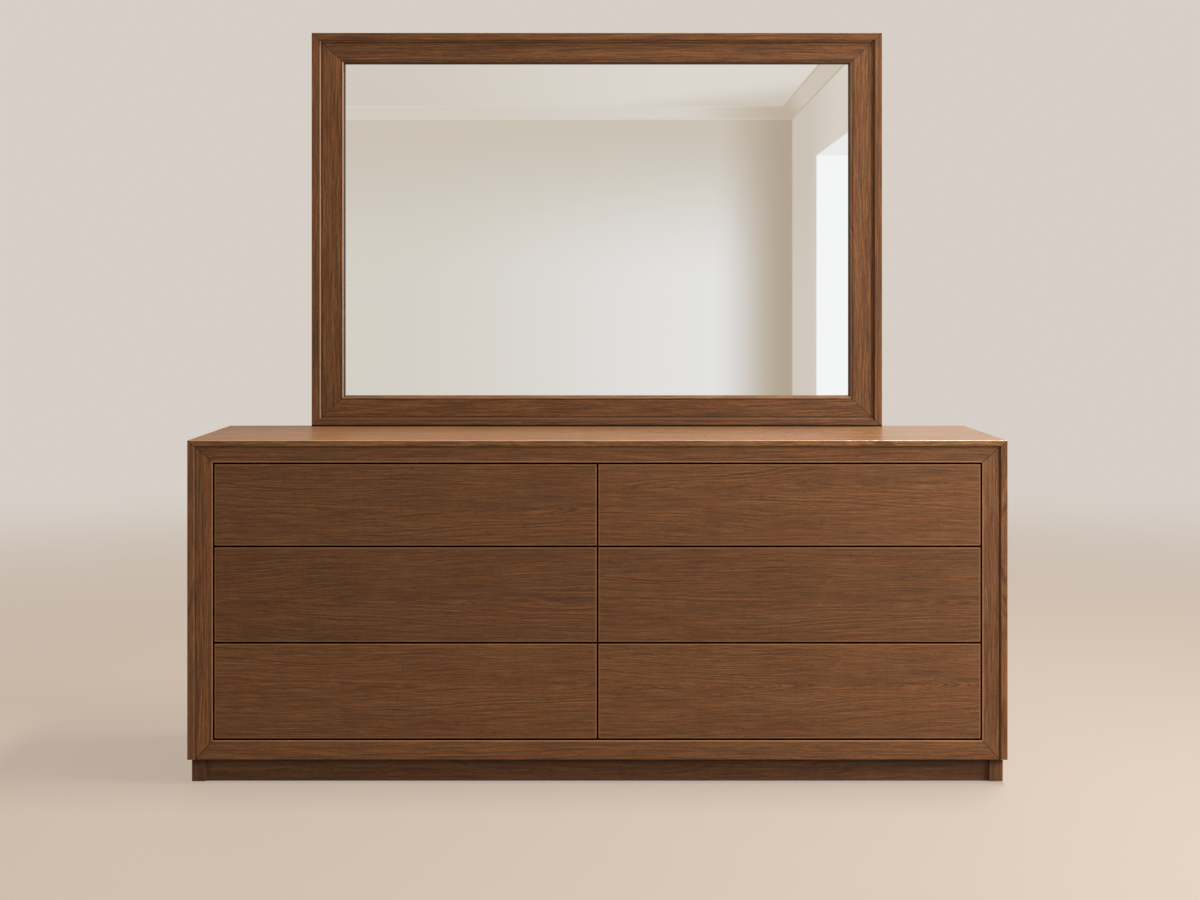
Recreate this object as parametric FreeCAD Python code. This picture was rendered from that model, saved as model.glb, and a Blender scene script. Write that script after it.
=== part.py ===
"""Six-drawer dresser with a framed mirror standing at the back of its top.

The case is a mitred shell of top and side panels with a mitred face frame let into its front, a plinth
with corner feet, and six handle-less drawers on three-member ball-bearing slides. Each drawer is pushed in a
little to release it and then slides out. The mirror has a moulded, mitred frame and is held up by two posts
screwed to the back of the case and to the back of the frame.

X runs to the right, Y to the back and Z up, in millimetres. The origin is on the floor under the middle of
the whole piece, so the front of the case is at negative Y.
"""
import FreeCAD, Part
import os

from FreeCAD import Vector

# Overall sizes of the case.
OVERALL_WIDTH = 1800.0
CASE_DEPTH = 460.0
PLINTH_HEIGHT = 54.0

# Panels of the case.
PANEL_THICKNESS = 22.0
BOTTOM_THICKNESS = 20.0
PARTITION_THICKNESS = 20.0
BACK_THICKNESS = 6.0
BACK_HOUSING = 8.0
REAR_RAIL_THICKNESS = 18.0
REAR_RAIL_HEIGHT = 90.0
LOWER_REAR_RAIL_RISE = 276.0
CORNER_EASE = 1.0

# The raised rim that the panels show around the face frame, with the bevel down to the frame. The bevel's
# width is the top's; the sides' is wider as their rim is.
TOP_RIM = 15.0
SIDE_RIM = 17.5
RIM_BEVEL = 3.0
RIM_DROP = 4.0
RIM_ROUND = 1.2

# Face frame.
STILE_WIDTH = 37.5
TOP_RAIL_WIDTH = 33.5
BOTTOM_RAIL_WIDTH = 42.0
FACE_THICKNESS = 20.0
FACE_ARRIS = 0.9

# Drawer fronts, from the bottom row up, and the gaps that show around them.
LOWER_FRONT_HEIGHT = 207.5
MIDDLE_FRONT_HEIGHT = 207.0
UPPER_FRONT_HEIGHT = 178.0
FRONT_THICKNESS = 20.0
FRONT_ARRIS = 1.2
ROW_GAP = 4.5
SIDE_GAP = 4.2

# Drawer boxes.
BOX_LIFT = 12.0
BOX_DROP = 26.0
BOX_SIDE_THICKNESS = 12.0
BOX_INNER_FRONT_THICKNESS = 15.0
BOX_BACK_THICKNESS = 12.0
BOX_BOTTOM_THICKNESS = 6.0
BOX_BOTTOM_RISE = 10.0
BOX_GROOVE_DEPTH = 6.0
BOX_TOP_ROUND = 2.5
PUSH_TRAVEL = 3.0
PUSH_CLEARANCE = 2.0
DRAWER_REAR_CLEARANCE = 8.0

# Drawer slides: a fixed member, a carrier and a runner on the drawer, nested in one another.
SLIDE_THICKNESS = 12.7
SLIDE_HEIGHT = 45.0
SLIDE_STEEL = 1.4
SLIDE_CLEARANCE = 1.1
SLIDE_BALL_GAP = 3.0
SLIDE_RISE = 66.0
PACKER_HEIGHT = 60.0
PACKER_PROUD = 1.0

# Plinth.
FOOT_WIDTH = 30.0
FOOT_DEPTH = 48.0
FOOT_ARRIS = 1.0
PLINTH_SIDE_INSET = 6.0
PLINTH_SETBACK = 20.0
PLINTH_REAR_INSET = 15.0
PLINTH_BOARD_THICKNESS = 18.0
PLINTH_BOARD_RECESS = 11.0
PLINTH_BOARD_LIFT = 3.0
CENTRE_FOOT_SIZE = 60.0
GLIDE_HEIGHT = 2.0
GLIDE_RADIUS = 11.0

# Mirror.
MIRROR_WIDTH = 1390.0
MIRROR_HEIGHT = 959.0
MIRROR_STILE_WIDTH = 80.5
MIRROR_RAIL_WIDTH = 75.0
MOULDING_DEPTH = 28.0
MOULDING_RIM = 16.5
COVE_WIDTH = 5.5
COVE_DEPTH = 6.0
QUIRK_WIDTH = 1.6
QUIRK_DEPTH = 1.2
OVOLO = 8.5
SIGHT_EDGE = 1.5
MOULDING_ROUND = 1.2
GLASS_THICKNESS = 4.0
GLASS_LAP = 8.0
GLASS_CLEARANCE = 1.0
BUTTON_LENGTH = 34.0
BUTTON_WIDTH = 12.0
BUTTON_THICKNESS = 1.6
BUTTON_SCREW_RADIUS = 4.0
BUTTON_SCREW_HEIGHT = 1.8
BUTTONS_ACROSS = 4
BUTTONS_UP = 3

# Mirror posts, behind the case and the mirror, and the screws through them.
POST_THICKNESS = 18.0
POST_WIDTH = 44.0
POST_RISE = 700.0
POST_END_TO_SCREW = 60.0
MIRROR_CORNER_TO_SCREW = 130.0
POST_ARRIS = 1.5
SCREW_RADIUS = 2.0
SCREW_HEAD_RADIUS = 4.5
SCREW_HEAD_HEIGHT = 3.0
SCREW_HEAD_SINK = 1.0
SCREW_CLEARANCE = 0.25
SCREW_BITE = 14.0
RAIL_SCREW_SPACING = 50.0

# Brackets on the back for a strap to the wall.
BRACKET_WIDTH = 30.0
BRACKET_HEIGHT = 26.0
BRACKET_REACH = 16.0
BRACKET_THICKNESS = 2.0
BRACKET_HOLE_RADIUS = 3.0
BRACKET_FROM_CENTRE = 380.0

# Where a quarter round passes its middle, as shares of its reach.
ROUND_NEAR = 0.29
ROUND_FAR = 0.71

# How closely a point must match a place for it to count as being there.
MATCH = 1e-4

# Levels from the floor up.
ROWS = (
    ("lower", LOWER_FRONT_HEIGHT),
    ("middle", MIDDLE_FRONT_HEIGHT),
    ("upper", UPPER_FRONT_HEIGHT),
)
OPENING_BOTTOM = PLINTH_HEIGHT + BOTTOM_RAIL_WIDTH
OPENING_TOP = OPENING_BOTTOM + sum(height for _, height in ROWS) + (len(ROWS) + 1) * ROW_GAP
CASE_TOP = OPENING_TOP + TOP_RAIL_WIDTH + TOP_RIM
PANEL_UNDERSIDE = CASE_TOP - PANEL_THICKNESS
REAR_RAIL_LEVELS = (PLINTH_HEIGHT + LOWER_REAR_RAIL_RISE, PANEL_UNDERSIDE - REAR_RAIL_HEIGHT)
BRACKET_LEVEL = PANEL_UNDERSIDE - REAR_RAIL_HEIGHT / 2
BOTTOM_TOP = PLINTH_HEIGHT + BOTTOM_THICKNESS
MIRROR_TOP = CASE_TOP + MIRROR_HEIGHT

# Places across the width, as distances from the middle.
HALF_WIDTH = OVERALL_WIDTH / 2
PANEL_INSIDE = HALF_WIDTH - PANEL_THICKNESS
OPENING_HALF = HALF_WIDTH - SIDE_RIM - STILE_WIDTH
PACKER_FACE = OPENING_HALF - PACKER_PROUD
PARTITION_FACE = PARTITION_THICKNESS / 2
FOOT_OUTSIDE = HALF_WIDTH - PLINTH_SIDE_INSET
HALF_MIRROR = MIRROR_WIDTH / 2
POST_CENTRE = HALF_MIRROR - MIRROR_STILE_WIDTH / 2

# Places from front to back.
CASE_FRONT = -(CASE_DEPTH + POST_THICKNESS) / 2
CASE_BACK = CASE_FRONT + CASE_DEPTH
FACE_FRONT = CASE_FRONT + RIM_DROP
FACE_BACK = FACE_FRONT + FACE_THICKNESS
BOX_FRONT = FACE_FRONT + FRONT_THICKNESS
INNER_FRONT = max(FACE_BACK, BOX_FRONT) + PUSH_TRAVEL + PUSH_CLEARANCE
BACK_PANEL_FRONT = CASE_BACK - BACK_THICKNESS
REAR_RAIL_FRONT = BACK_PANEL_FRONT - REAR_RAIL_THICKNESS
BOX_REAR = REAR_RAIL_FRONT - DRAWER_REAR_CLEARANCE
FOOT_FRONT = CASE_FRONT + PLINTH_SETBACK
FOOT_REAR = CASE_BACK - PLINTH_REAR_INSET
MIRROR_FRONT = CASE_BACK - MOULDING_DEPTH
SIGHT_DEPTH = COVE_DEPTH + OVOLO
GLASS_FRONT = MIRROR_FRONT + SIGHT_DEPTH + SIGHT_EDGE

# The mirror's stiles have the rails' section, widened so that the mitres run from corner to corner.
STILE_STRETCH = MIRROR_STILE_WIDTH / MIRROR_RAIL_WIDTH
RAIL_REBATE = MIRROR_RAIL_WIDTH - GLASS_LAP
STILE_REBATE = RAIL_REBATE * STILE_STRETCH


def board(x0, x1, y0, y1, z0, z1):
    """A rectangular board between two corners, given in any order along X."""
    left, right = sorted((x0, x1))
    return Part.makeBox(right - left, y1 - y0, z1 - z0, Vector(left, y0, z0))


def extruded(points, travel):
    """The closed outline through points, pushed along travel into a solid."""
    outline = Part.makePolygon([*points, points[0]])
    return Part.Face(outline).extrude(travel)


def edges_through(shape, **place):
    """The edges whose every vertex has the given coordinates, such as y=0 and z=10."""
    found = []
    for edge in shape.Edges:
        ends = [vertex.Point for vertex in edge.Vertexes]
        if all(abs(getattr(end, axis) - value) < MATCH for end in ends for axis, value in place.items()):
            found.append(edge)
    return found


def long_edges(edges):
    """Those edges that are more than half as long as the longest."""
    longest = max(edge.Length for edge in edges)
    return [edge for edge in edges if edge.Length > longest / 2]


def mirrored(shape):
    """The same piece on the other side of the dresser."""
    return shape.mirror(Vector(0, 0, 0), Vector(1, 0, 0))


def both_sides(shape):
    """A piece and its mirror image, as separate solids."""
    return [shape, mirrored(shape)]


def save(name, solids):
    """Writes one node, from one solid or a list of separate solids."""
    whole = Part.makeCompound(solids) if isinstance(solids, list) else solids
    whole.exportStep(f"parts/{name}.step")


# Case ---------------------------------------------------------------------------------------------------

def panel_section(outside, inward, rim, place):
    """Section of a top or side panel: tongue and bevel at the front, housing for the back at the rear.

    outside is the coordinate of the show face, inward is +1 or -1, the way into the case, and rim is the
    width that shows around the face frame; place turns a pair (across the thickness, along Y) into a point.
    """
    inside = outside + inward * PANEL_THICKNESS
    tongue = outside + inward * rim
    bevel = RIM_BEVEL * rim / TOP_RIM
    housing = inside - inward * BACK_HOUSING
    pairs = (
        (outside, CASE_FRONT),
        (tongue - inward * bevel, CASE_FRONT),
        (tongue, FACE_FRONT),
        (tongue, FACE_BACK),
        (inside, FACE_BACK),
        (inside, BACK_PANEL_FRONT),
        (housing, BACK_PANEL_FRONT),
        (housing, CASE_BACK),
        (outside, CASE_BACK),
    )
    return [place(across, along) for across, along in pairs]


def mitre_outline_top():
    """Front view of the top panel, with mitred ends and eased outer corners."""
    eased = HALF_WIDTH - CORNER_EASE
    shoulder = CASE_TOP - CORNER_EASE / 2
    nose = HALF_WIDTH - CORNER_EASE / 2
    turn, turn_level = HALF_WIDTH - SIDE_RIM, CASE_TOP - TOP_RIM
    left = [(-eased, CASE_TOP), (-nose, shoulder), (-turn, turn_level), (-PANEL_INSIDE, PANEL_UNDERSIDE)]
    return left + [(-x, z) for x, z in reversed(left)]


def mitre_outline_side():
    """Front view of the left side panel, mitred at the top."""
    nose = HALF_WIDTH - CORNER_EASE / 2
    shoulder = CASE_TOP - CORNER_EASE / 2
    turn, turn_level = HALF_WIDTH - SIDE_RIM, CASE_TOP - TOP_RIM
    return [(-HALF_WIDTH, PLINTH_HEIGHT), (-HALF_WIDTH, CASE_TOP - CORNER_EASE), (-nose, shoulder),
            (-turn, turn_level), (-PANEL_INSIDE, PANEL_UNDERSIDE), (-PANEL_INSIDE, PLINTH_HEIGHT)]


def front_view_prism(outline, y0, y1):
    """A front-view outline of (x, z) pairs, made solid from y0 to y1."""
    points = [Vector(x, y0, z) for x, z in outline]
    return extruded(points, Vector(0, y1 - y0, 0))


def top_panel():
    """The top, a show-wood panel mitred to the sides."""
    section = panel_section(CASE_TOP, -1, TOP_RIM, lambda across, along: Vector(-HALF_WIDTH, along, across))
    length = extruded(section, Vector(OVERALL_WIDTH, 0, 0))
    length = length.makeFillet(RIM_ROUND, edges_through(length, y=CASE_FRONT, z=CASE_TOP))
    return length.common(front_view_prism(mitre_outline_top(), CASE_FRONT, CASE_BACK))


def side_panel_left():
    """The left side, from the underside of the case to the mitre."""
    section = panel_section(-HALF_WIDTH, 1, SIDE_RIM,
                            lambda across, along: Vector(across, along, PLINTH_HEIGHT))
    height = extruded(section, Vector(0, 0, CASE_TOP - PLINTH_HEIGHT))
    arrises = edges_through(height, x=-HALF_WIDTH, y=CASE_FRONT)
    arrises += edges_through(height, y=CASE_FRONT, z=PLINTH_HEIGHT)
    height = height.makeFillet(RIM_ROUND, arrises)
    return height.common(front_view_prism(mitre_outline_side(), CASE_FRONT, CASE_BACK))


def bottom_panel():
    """The floor of the case, between the sides and behind the face frame."""
    return board(-PANEL_INSIDE, PANEL_INSIDE, FACE_BACK, BACK_PANEL_FRONT, PLINTH_HEIGHT, BOTTOM_TOP)


def back_panel():
    """The thin back, let into the sides and the top and covering the bottom's rear edge."""
    reach = PANEL_INSIDE + BACK_HOUSING
    top = PANEL_UNDERSIDE + BACK_HOUSING
    return board(-reach, reach, BACK_PANEL_FRONT, CASE_BACK, PLINTH_HEIGHT, top)


def centre_partition():
    """The upright that carries the inner slides of both columns of drawers."""
    return board(-PARTITION_FACE, PARTITION_FACE, INNER_FRONT, REAR_RAIL_FRONT, BOTTOM_TOP, PANEL_UNDERSIDE)


def rear_rails():
    """The two rails across the back, which the mirror posts screw into."""
    plan = (-PANEL_INSIDE, PANEL_INSIDE, REAR_RAIL_FRONT, BACK_PANEL_FRONT)
    return [board(*plan, level, level + REAR_RAIL_HEIGHT) for level in REAR_RAIL_LEVELS]


def face_frame():
    """The four mitred members of the face frame, by name."""
    outer = HALF_WIDTH - SIDE_RIM
    outer_top = CASE_TOP - TOP_RIM
    low, high = OPENING_BOTTOM, OPENING_TOP
    inner = OPENING_HALF
    outlines = {
        "face_rail_top": [(-outer, outer_top), (outer, outer_top), (inner, high), (-inner, high)],
        "face_rail_bottom": [(-outer, PLINTH_HEIGHT), (outer, PLINTH_HEIGHT), (inner, low), (-inner, low)],
        "face_stile_left": [(-outer, PLINTH_HEIGHT), (-outer, outer_top), (-inner, high), (-inner, low)],
    }
    members = {}
    for name, outline in outlines.items():
        member = front_view_prism(outline, FACE_FRONT, FACE_BACK)
        members[name] = member.makeFillet(FACE_ARRIS, edges_through(member, y=FACE_FRONT))
    members["face_stile_right"] = mirrored(members["face_stile_left"])
    return members


# Plinth -------------------------------------------------------------------------------------------------

def corner_feet():
    """Four square posts under the corners of the case."""
    feet = []
    for y0, y1 in ((FOOT_FRONT, FOOT_FRONT + FOOT_DEPTH), (FOOT_REAR - FOOT_DEPTH, FOOT_REAR)):
        foot = board(FOOT_OUTSIDE - FOOT_WIDTH, FOOT_OUTSIDE, y0, y1, GLIDE_HEIGHT, PLINTH_HEIGHT)
        edges = [edge for edge in foot.Edges if abs(edge.tangentAt(edge.FirstParameter).z) > ROUND_FAR]
        feet += both_sides(foot.makeFillet(FOOT_ARRIS, edges))
    return feet


def plinth_board(y0):
    """A long plinth board between two feet, whose front face is at y0."""
    reach = FOOT_OUTSIDE - FOOT_WIDTH
    return board(-reach, reach, y0, y0 + PLINTH_BOARD_THICKNESS, PLINTH_BOARD_LIFT, PLINTH_HEIGHT)


def plinth_end_boards():
    """The short boards between the front and rear feet, set in from the feet's outer faces."""
    outside = FOOT_OUTSIDE - PLINTH_BOARD_RECESS
    end = board(outside - PLINTH_BOARD_THICKNESS, outside, FOOT_FRONT + FOOT_DEPTH, FOOT_REAR - FOOT_DEPTH,
                PLINTH_BOARD_LIFT, PLINTH_HEIGHT)
    return both_sides(end)


def centre_foot():
    """The block that holds up the middle of the long case."""
    half = CENTRE_FOOT_SIZE / 2
    middle = (FOOT_FRONT + FOOT_REAR) / 2
    return board(-half, half, middle - half, middle + half, GLIDE_HEIGHT, PLINTH_HEIGHT)


def floor_glides():
    """Low round glides under the feet and the centre foot."""
    across = FOOT_OUTSIDE - FOOT_WIDTH / 2
    front, rear = FOOT_FRONT + FOOT_DEPTH / 2, FOOT_REAR - FOOT_DEPTH / 2
    middle = (FOOT_FRONT + FOOT_REAR) / 2
    places = [(-across, front), (across, front), (-across, rear), (across, rear), (0, middle)]
    return [Part.makeCylinder(GLIDE_RADIUS, GLIDE_HEIGHT, Vector(x, y, 0)) for x, y in places]


# Drawers and slides -------------------------------------------------------------------------------------

def slide_sections():
    """Sections of the three slide members, as lists of strips (u0, u1, v0, v1).

    u is measured from the face that carries the slide towards the drawer, v up from the slide's middle.
    """
    steel, clearance = SLIDE_STEEL, SLIDE_CLEARANCE
    middle = SLIDE_THICKNESS / 2
    runner_web = SLIDE_THICKNESS - steel
    outer_half = SLIDE_HEIGHT / 2
    carrier_half = outer_half - steel - SLIDE_BALL_GAP
    runner_half = carrier_half - steel - SLIDE_BALL_GAP
    carrier_lips = (steel + clearance, runner_web - clearance)

    def channel(web, lips, half):
        """A web and the lips along its top and bottom."""
        return [(*web, -half, half), (*lips, half - steel, half), (*lips, -half, steel - half)]

    return {
        "fixed": channel((0, steel), (0, runner_web - clearance), outer_half),
        "carrier": channel((middle - steel, middle), carrier_lips, carrier_half),
        "runner": channel((runner_web, SLIDE_THICKNESS), (middle + clearance, SLIDE_THICKNESS), runner_half),
    }


def slide_member(member, face, inward, level):
    """One slide member, carried by the face at x and reaching inward, +1 or -1, at a height."""
    strips = [board(face + inward * u0, face + inward * u1, INNER_FRONT, BOX_REAR, level + v0, level + v1)
              for u0, u1, v0, v1 in slide_sections()[member]]
    return strips[0].multiFuse(strips[1:]).removeSplitter()


def slide_pair(member, level):
    """A member of the outer and the inner slide of a left-hand drawer."""
    return [slide_member(member, -PACKER_FACE, 1, level), slide_member(member, -PARTITION_FACE, -1, level)]


def slide_packers():
    """Blocks that bring the outer slides out level with the opening, one for each row and side."""
    packers = []
    for _, base, _ in rows():
        level = base + SLIDE_RISE
        block = board(-PANEL_INSIDE, -PACKER_FACE, INNER_FRONT, BOX_REAR,
                      level - PACKER_HEIGHT / 2, level + PACKER_HEIGHT / 2)
        packers += both_sides(block)
    return packers


def rows():
    """Each row of drawers as (name, underside of its fronts, height of its fronts)."""
    base = OPENING_BOTTOM + ROW_GAP
    placed = []
    for name, height in ROWS:
        placed.append((name, base, height))
        base += height + ROW_GAP
    return placed


def drawer_front(base, height):
    """A left-hand drawer front, flush with the face frame, with softened front edges."""
    front = board(-OPENING_HALF + SIDE_GAP, -SIDE_GAP / 2, FACE_FRONT, BOX_FRONT, base, base + height)
    return front.makeFillet(FRONT_ARRIS, edges_through(front, y=FACE_FRONT))


def drawer_box(base, height):
    """The walls of a left-hand drawer box and its bottom, as (list of walls, bottom)."""
    left, right = -PACKER_FACE + SLIDE_THICKNESS, -PARTITION_FACE - SLIDE_THICKNESS
    low, high = base + BOX_LIFT, base + height - BOX_DROP
    inside_left, inside_right = left + BOX_SIDE_THICKNESS, right - BOX_SIDE_THICKNESS
    inside_front, inside_rear = BOX_FRONT + BOX_INNER_FRONT_THICKNESS, BOX_REAR - BOX_BACK_THICKNESS
    floor = low + BOX_BOTTOM_RISE
    bottom = board(inside_left - BOX_GROOVE_DEPTH, inside_right + BOX_GROOVE_DEPTH,
                   inside_front - BOX_GROOVE_DEPTH, inside_rear + BOX_GROOVE_DEPTH,
                   floor, floor + BOX_BOTTOM_THICKNESS)
    plans = (
        (left, inside_left, BOX_FRONT, BOX_REAR),
        (inside_right, right, BOX_FRONT, BOX_REAR),
        (inside_left, inside_right, BOX_FRONT, inside_front),
        (inside_left, inside_right, inside_rear, BOX_REAR),
    )
    walls = []
    for plan in plans:
        wall = board(*plan, low, high)
        rounded = wall.makeFillet(BOX_TOP_ROUND, long_edges(edges_through(wall, z=high)))
        walls.append(rounded.cut(bottom))
    return walls, bottom


def save_drawers():
    """Writes the nodes of all six drawers and of the slides' fixed members."""
    fixed_members = []
    for row, base, height in rows():
        level = base + SLIDE_RISE
        walls, bottom = drawer_box(base, height)
        nodes = {
            "front": [drawer_front(base, height)],
            "box": walls,
            "floor": [bottom],
            "runners": slide_pair("runner", level),
            "slide_carriers": slide_pair("carrier", level),
        }
        for piece, solids in nodes.items():
            save(f"{row}_left_drawer_{piece}", solids)
            save(f"{row}_right_drawer_{piece}", [mirrored(solid) for solid in solids])
        for member in slide_pair("fixed", level):
            fixed_members += both_sides(member)
    save("slide_fixed_members", fixed_members)


# Mirror -------------------------------------------------------------------------------------------------

def moulding_section(stretch, place):
    """Section of the mirror frame's moulding, from its outer edge (w = 0) to its sight edge.

    stretch widens the rails' section for the stiles, and place turns a pair (w across the face, d back from
    the front) into a point. The cove and the ovolo are arcs, so the section is a closed wire.
    """
    def at(pair):
        return place(pair[0] * stretch, pair[1])

    def line(start, end):
        return Part.LineSegment(at(start), at(end)).toShape()

    def arc(start, through, end):
        return Part.Arc(at(start), at(through), at(end)).toShape()

    def quirk(start, end):
        """The two sides of a small V groove."""
        bottom = ((start + end) / 2, COVE_DEPTH + QUIRK_DEPTH)
        return [line((start, COVE_DEPTH), bottom), line(bottom, (end, COVE_DEPTH))]

    cove_end = MOULDING_RIM + COVE_WIDTH
    field = cove_end + QUIRK_WIDTH
    ovolo = MIRROR_RAIL_WIDTH - OVOLO
    field_end = ovolo - QUIRK_WIDTH
    rebate = SIGHT_DEPTH + SIGHT_EDGE
    cove_middle = (MOULDING_RIM + COVE_WIDTH * ROUND_NEAR, COVE_DEPTH * ROUND_FAR)
    ovolo_middle = (ovolo + OVOLO * ROUND_FAR, COVE_DEPTH + OVOLO * ROUND_NEAR)
    corner_middle = (MOULDING_ROUND * ROUND_NEAR, MOULDING_ROUND * ROUND_NEAR)
    return Part.Wire([
        line((MOULDING_ROUND, 0), (MOULDING_RIM, 0)),
        arc((MOULDING_RIM, 0), cove_middle, (cove_end, COVE_DEPTH)),
        *quirk(cove_end, field),
        line((field, COVE_DEPTH), (field_end, COVE_DEPTH)),
        *quirk(field_end, ovolo),
        arc((ovolo, COVE_DEPTH), ovolo_middle, (MIRROR_RAIL_WIDTH, SIGHT_DEPTH)),
        line((MIRROR_RAIL_WIDTH, SIGHT_DEPTH), (MIRROR_RAIL_WIDTH, rebate)),
        line((MIRROR_RAIL_WIDTH, rebate), (RAIL_REBATE, rebate)),
        line((RAIL_REBATE, rebate), (RAIL_REBATE, MOULDING_DEPTH)),
        line((RAIL_REBATE, MOULDING_DEPTH), (0, MOULDING_DEPTH)),
        line((0, MOULDING_DEPTH), (0, MOULDING_ROUND)),
        arc((0, MOULDING_ROUND), corner_middle, (MOULDING_ROUND, 0)),
    ])


def mirror_frame():
    """The four mitred members of the mirror frame, by name."""
    low, high = CASE_TOP, MIRROR_TOP
    inner = HALF_MIRROR - MIRROR_STILE_WIDTH
    in_low, in_high = low + MIRROR_RAIL_WIDTH, high - MIRROR_RAIL_WIDTH
    outlines = {
        "mirror_rail_bottom": [(-HALF_MIRROR, low), (HALF_MIRROR, low), (inner, in_low), (-inner, in_low)],
        "mirror_rail_top": [(-HALF_MIRROR, high), (HALF_MIRROR, high), (inner, in_high), (-inner, in_high)],
        "mirror_stile_left": [(-HALF_MIRROR, low), (-HALF_MIRROR, high), (-inner, in_high), (-inner, in_low)],
    }
    left, across, up = -HALF_MIRROR, Vector(MIRROR_WIDTH, 0, 0), Vector(0, 0, MIRROR_HEIGHT)
    lengths = {
        "mirror_rail_bottom": (1, across, lambda w, d: Vector(left, MIRROR_FRONT + d, low + w)),
        "mirror_rail_top": (1, across, lambda w, d: Vector(left, MIRROR_FRONT + d, high - w)),
        "mirror_stile_left": (STILE_STRETCH, up, lambda w, d: Vector(left + w, MIRROR_FRONT + d, low)),
    }
    members = {}
    for name, (stretch, travel, place) in lengths.items():
        length = Part.Face(moulding_section(stretch, place)).extrude(travel)
        members[name] = length.common(front_view_prism(outlines[name], MIRROR_FRONT, CASE_BACK))
    members["mirror_stile_right"] = mirrored(members["mirror_stile_left"])
    return members


def rebate_board(y0, y1):
    """A sheet that fills the frame's rebate with its clearance, from y0 to y1."""
    reach = HALF_MIRROR - STILE_REBATE - GLASS_CLEARANCE
    margin = RAIL_REBATE + GLASS_CLEARANCE
    return board(-reach, reach, y0, y1, CASE_TOP + margin, MIRROR_TOP - margin)


def mirror_glass():
    """The silvered glass."""
    return rebate_board(GLASS_FRONT, GLASS_FRONT + GLASS_THICKNESS)


def mirror_backing():
    """The board behind the glass, flush with the back of the frame."""
    return rebate_board(GLASS_FRONT + GLASS_THICKNESS, CASE_BACK)


def turn_button(x, z, upright):
    """A flat steel button across the joint between frame and backing, with its screw head."""
    width, height = (BUTTON_WIDTH, BUTTON_LENGTH) if upright else (BUTTON_LENGTH, BUTTON_WIDTH)
    plate = board(x - width / 2, x + width / 2, CASE_BACK, CASE_BACK + BUTTON_THICKNESS,
                  z - height / 2, z + height / 2)
    face = Vector(x, CASE_BACK + BUTTON_THICKNESS, z)
    head = Part.makeCylinder(BUTTON_SCREW_RADIUS, BUTTON_SCREW_HEIGHT, face, Vector(0, 1, 0))
    return plate.fuse(head)


def turn_buttons():
    """The buttons along all four sides of the backing, clear of the posts."""
    inside = HALF_MIRROR - STILE_REBATE
    low, high = CASE_TOP + RAIL_REBATE, MIRROR_TOP - RAIL_REBATE
    buttons = []
    for step in range(BUTTONS_ACROSS):
        x = -inside + 2 * inside * (step + 1) / (BUTTONS_ACROSS + 1)
        buttons += [turn_button(x, low, True), turn_button(x, high, True)]
    for step in range(BUTTONS_UP):
        z = low + (high - low) * (step + 1) / (BUTTONS_UP + 1)
        clear = min(inside, POST_CENTRE - POST_WIDTH / 2 - BUTTON_LENGTH / 2 - POST_ARRIS)
        buttons += [turn_button(-clear, z, False), turn_button(clear, z, False)]
    return buttons


def screw_places():
    """Each left-hand screw on the back, as (x, z, seat of its head along Y, tip along Y)."""
    post_seat = CASE_BACK + POST_THICKNESS - SCREW_HEAD_SINK - SCREW_HEAD_HEIGHT
    case_tip = BACK_PANEL_FRONT - SCREW_BITE
    frame_tip = CASE_BACK - SCREW_BITE
    places = []
    for level in REAR_RAIL_LEVELS:
        middle = level + REAR_RAIL_HEIGHT / 2
        for z in (middle - RAIL_SCREW_SPACING / 2, middle + RAIL_SCREW_SPACING / 2):
            places.append((-POST_CENTRE, z, post_seat, case_tip))
    first = CASE_TOP + MIRROR_CORNER_TO_SCREW
    last = CASE_TOP + POST_RISE - POST_END_TO_SCREW
    for z in (first, (first + last) / 2, last):
        places.append((-POST_CENTRE, z, post_seat, frame_tip))
    bracket_middle = BRACKET_LEVEL - (BRACKET_THICKNESS + BRACKET_HEIGHT) / 2
    places.append((-BRACKET_FROM_CENTRE, bracket_middle, CASE_BACK + BRACKET_THICKNESS, case_tip))
    return places


def screw(x, z, seat, tip, growth):
    """A screw along Y, or the hole for it when growth is the clearance around it."""
    back = Vector(0, 1, 0)
    shank = Part.makeCylinder(SCREW_RADIUS + growth, seat - tip + growth, Vector(x, tip - growth, z), back)
    head_length = SCREW_HEAD_HEIGHT if growth == 0 else SCREW_HEAD_HEIGHT + SCREW_HEAD_SINK
    head = Part.makeCylinder(SCREW_HEAD_RADIUS + growth, head_length, Vector(x, seat, z), back)
    return shank.fuse(head)


def screws():
    """All the screws on the back, on both sides."""
    placed = []
    for place in screw_places():
        placed += both_sides(screw(*place, 0))
    return placed


def drilled(shape):
    """A piece with the clearance holes of the screws cut in it."""
    holes = []
    for place in screw_places():
        holes += both_sides(screw(*place, SCREW_CLEARANCE))
    return shape.cut(Part.makeCompound(holes))


def mirror_posts():
    """The two upright posts behind the case and the mirror."""
    half = POST_WIDTH / 2
    post = board(-POST_CENTRE - half, -POST_CENTRE + half, CASE_BACK, CASE_BACK + POST_THICKNESS,
                 REAR_RAIL_LEVELS[0], CASE_TOP + POST_RISE)
    post = post.makeFillet(POST_ARRIS, edges_through(post, y=CASE_BACK + POST_THICKNESS))
    return [drilled(solid) for solid in both_sides(post)]


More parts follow.
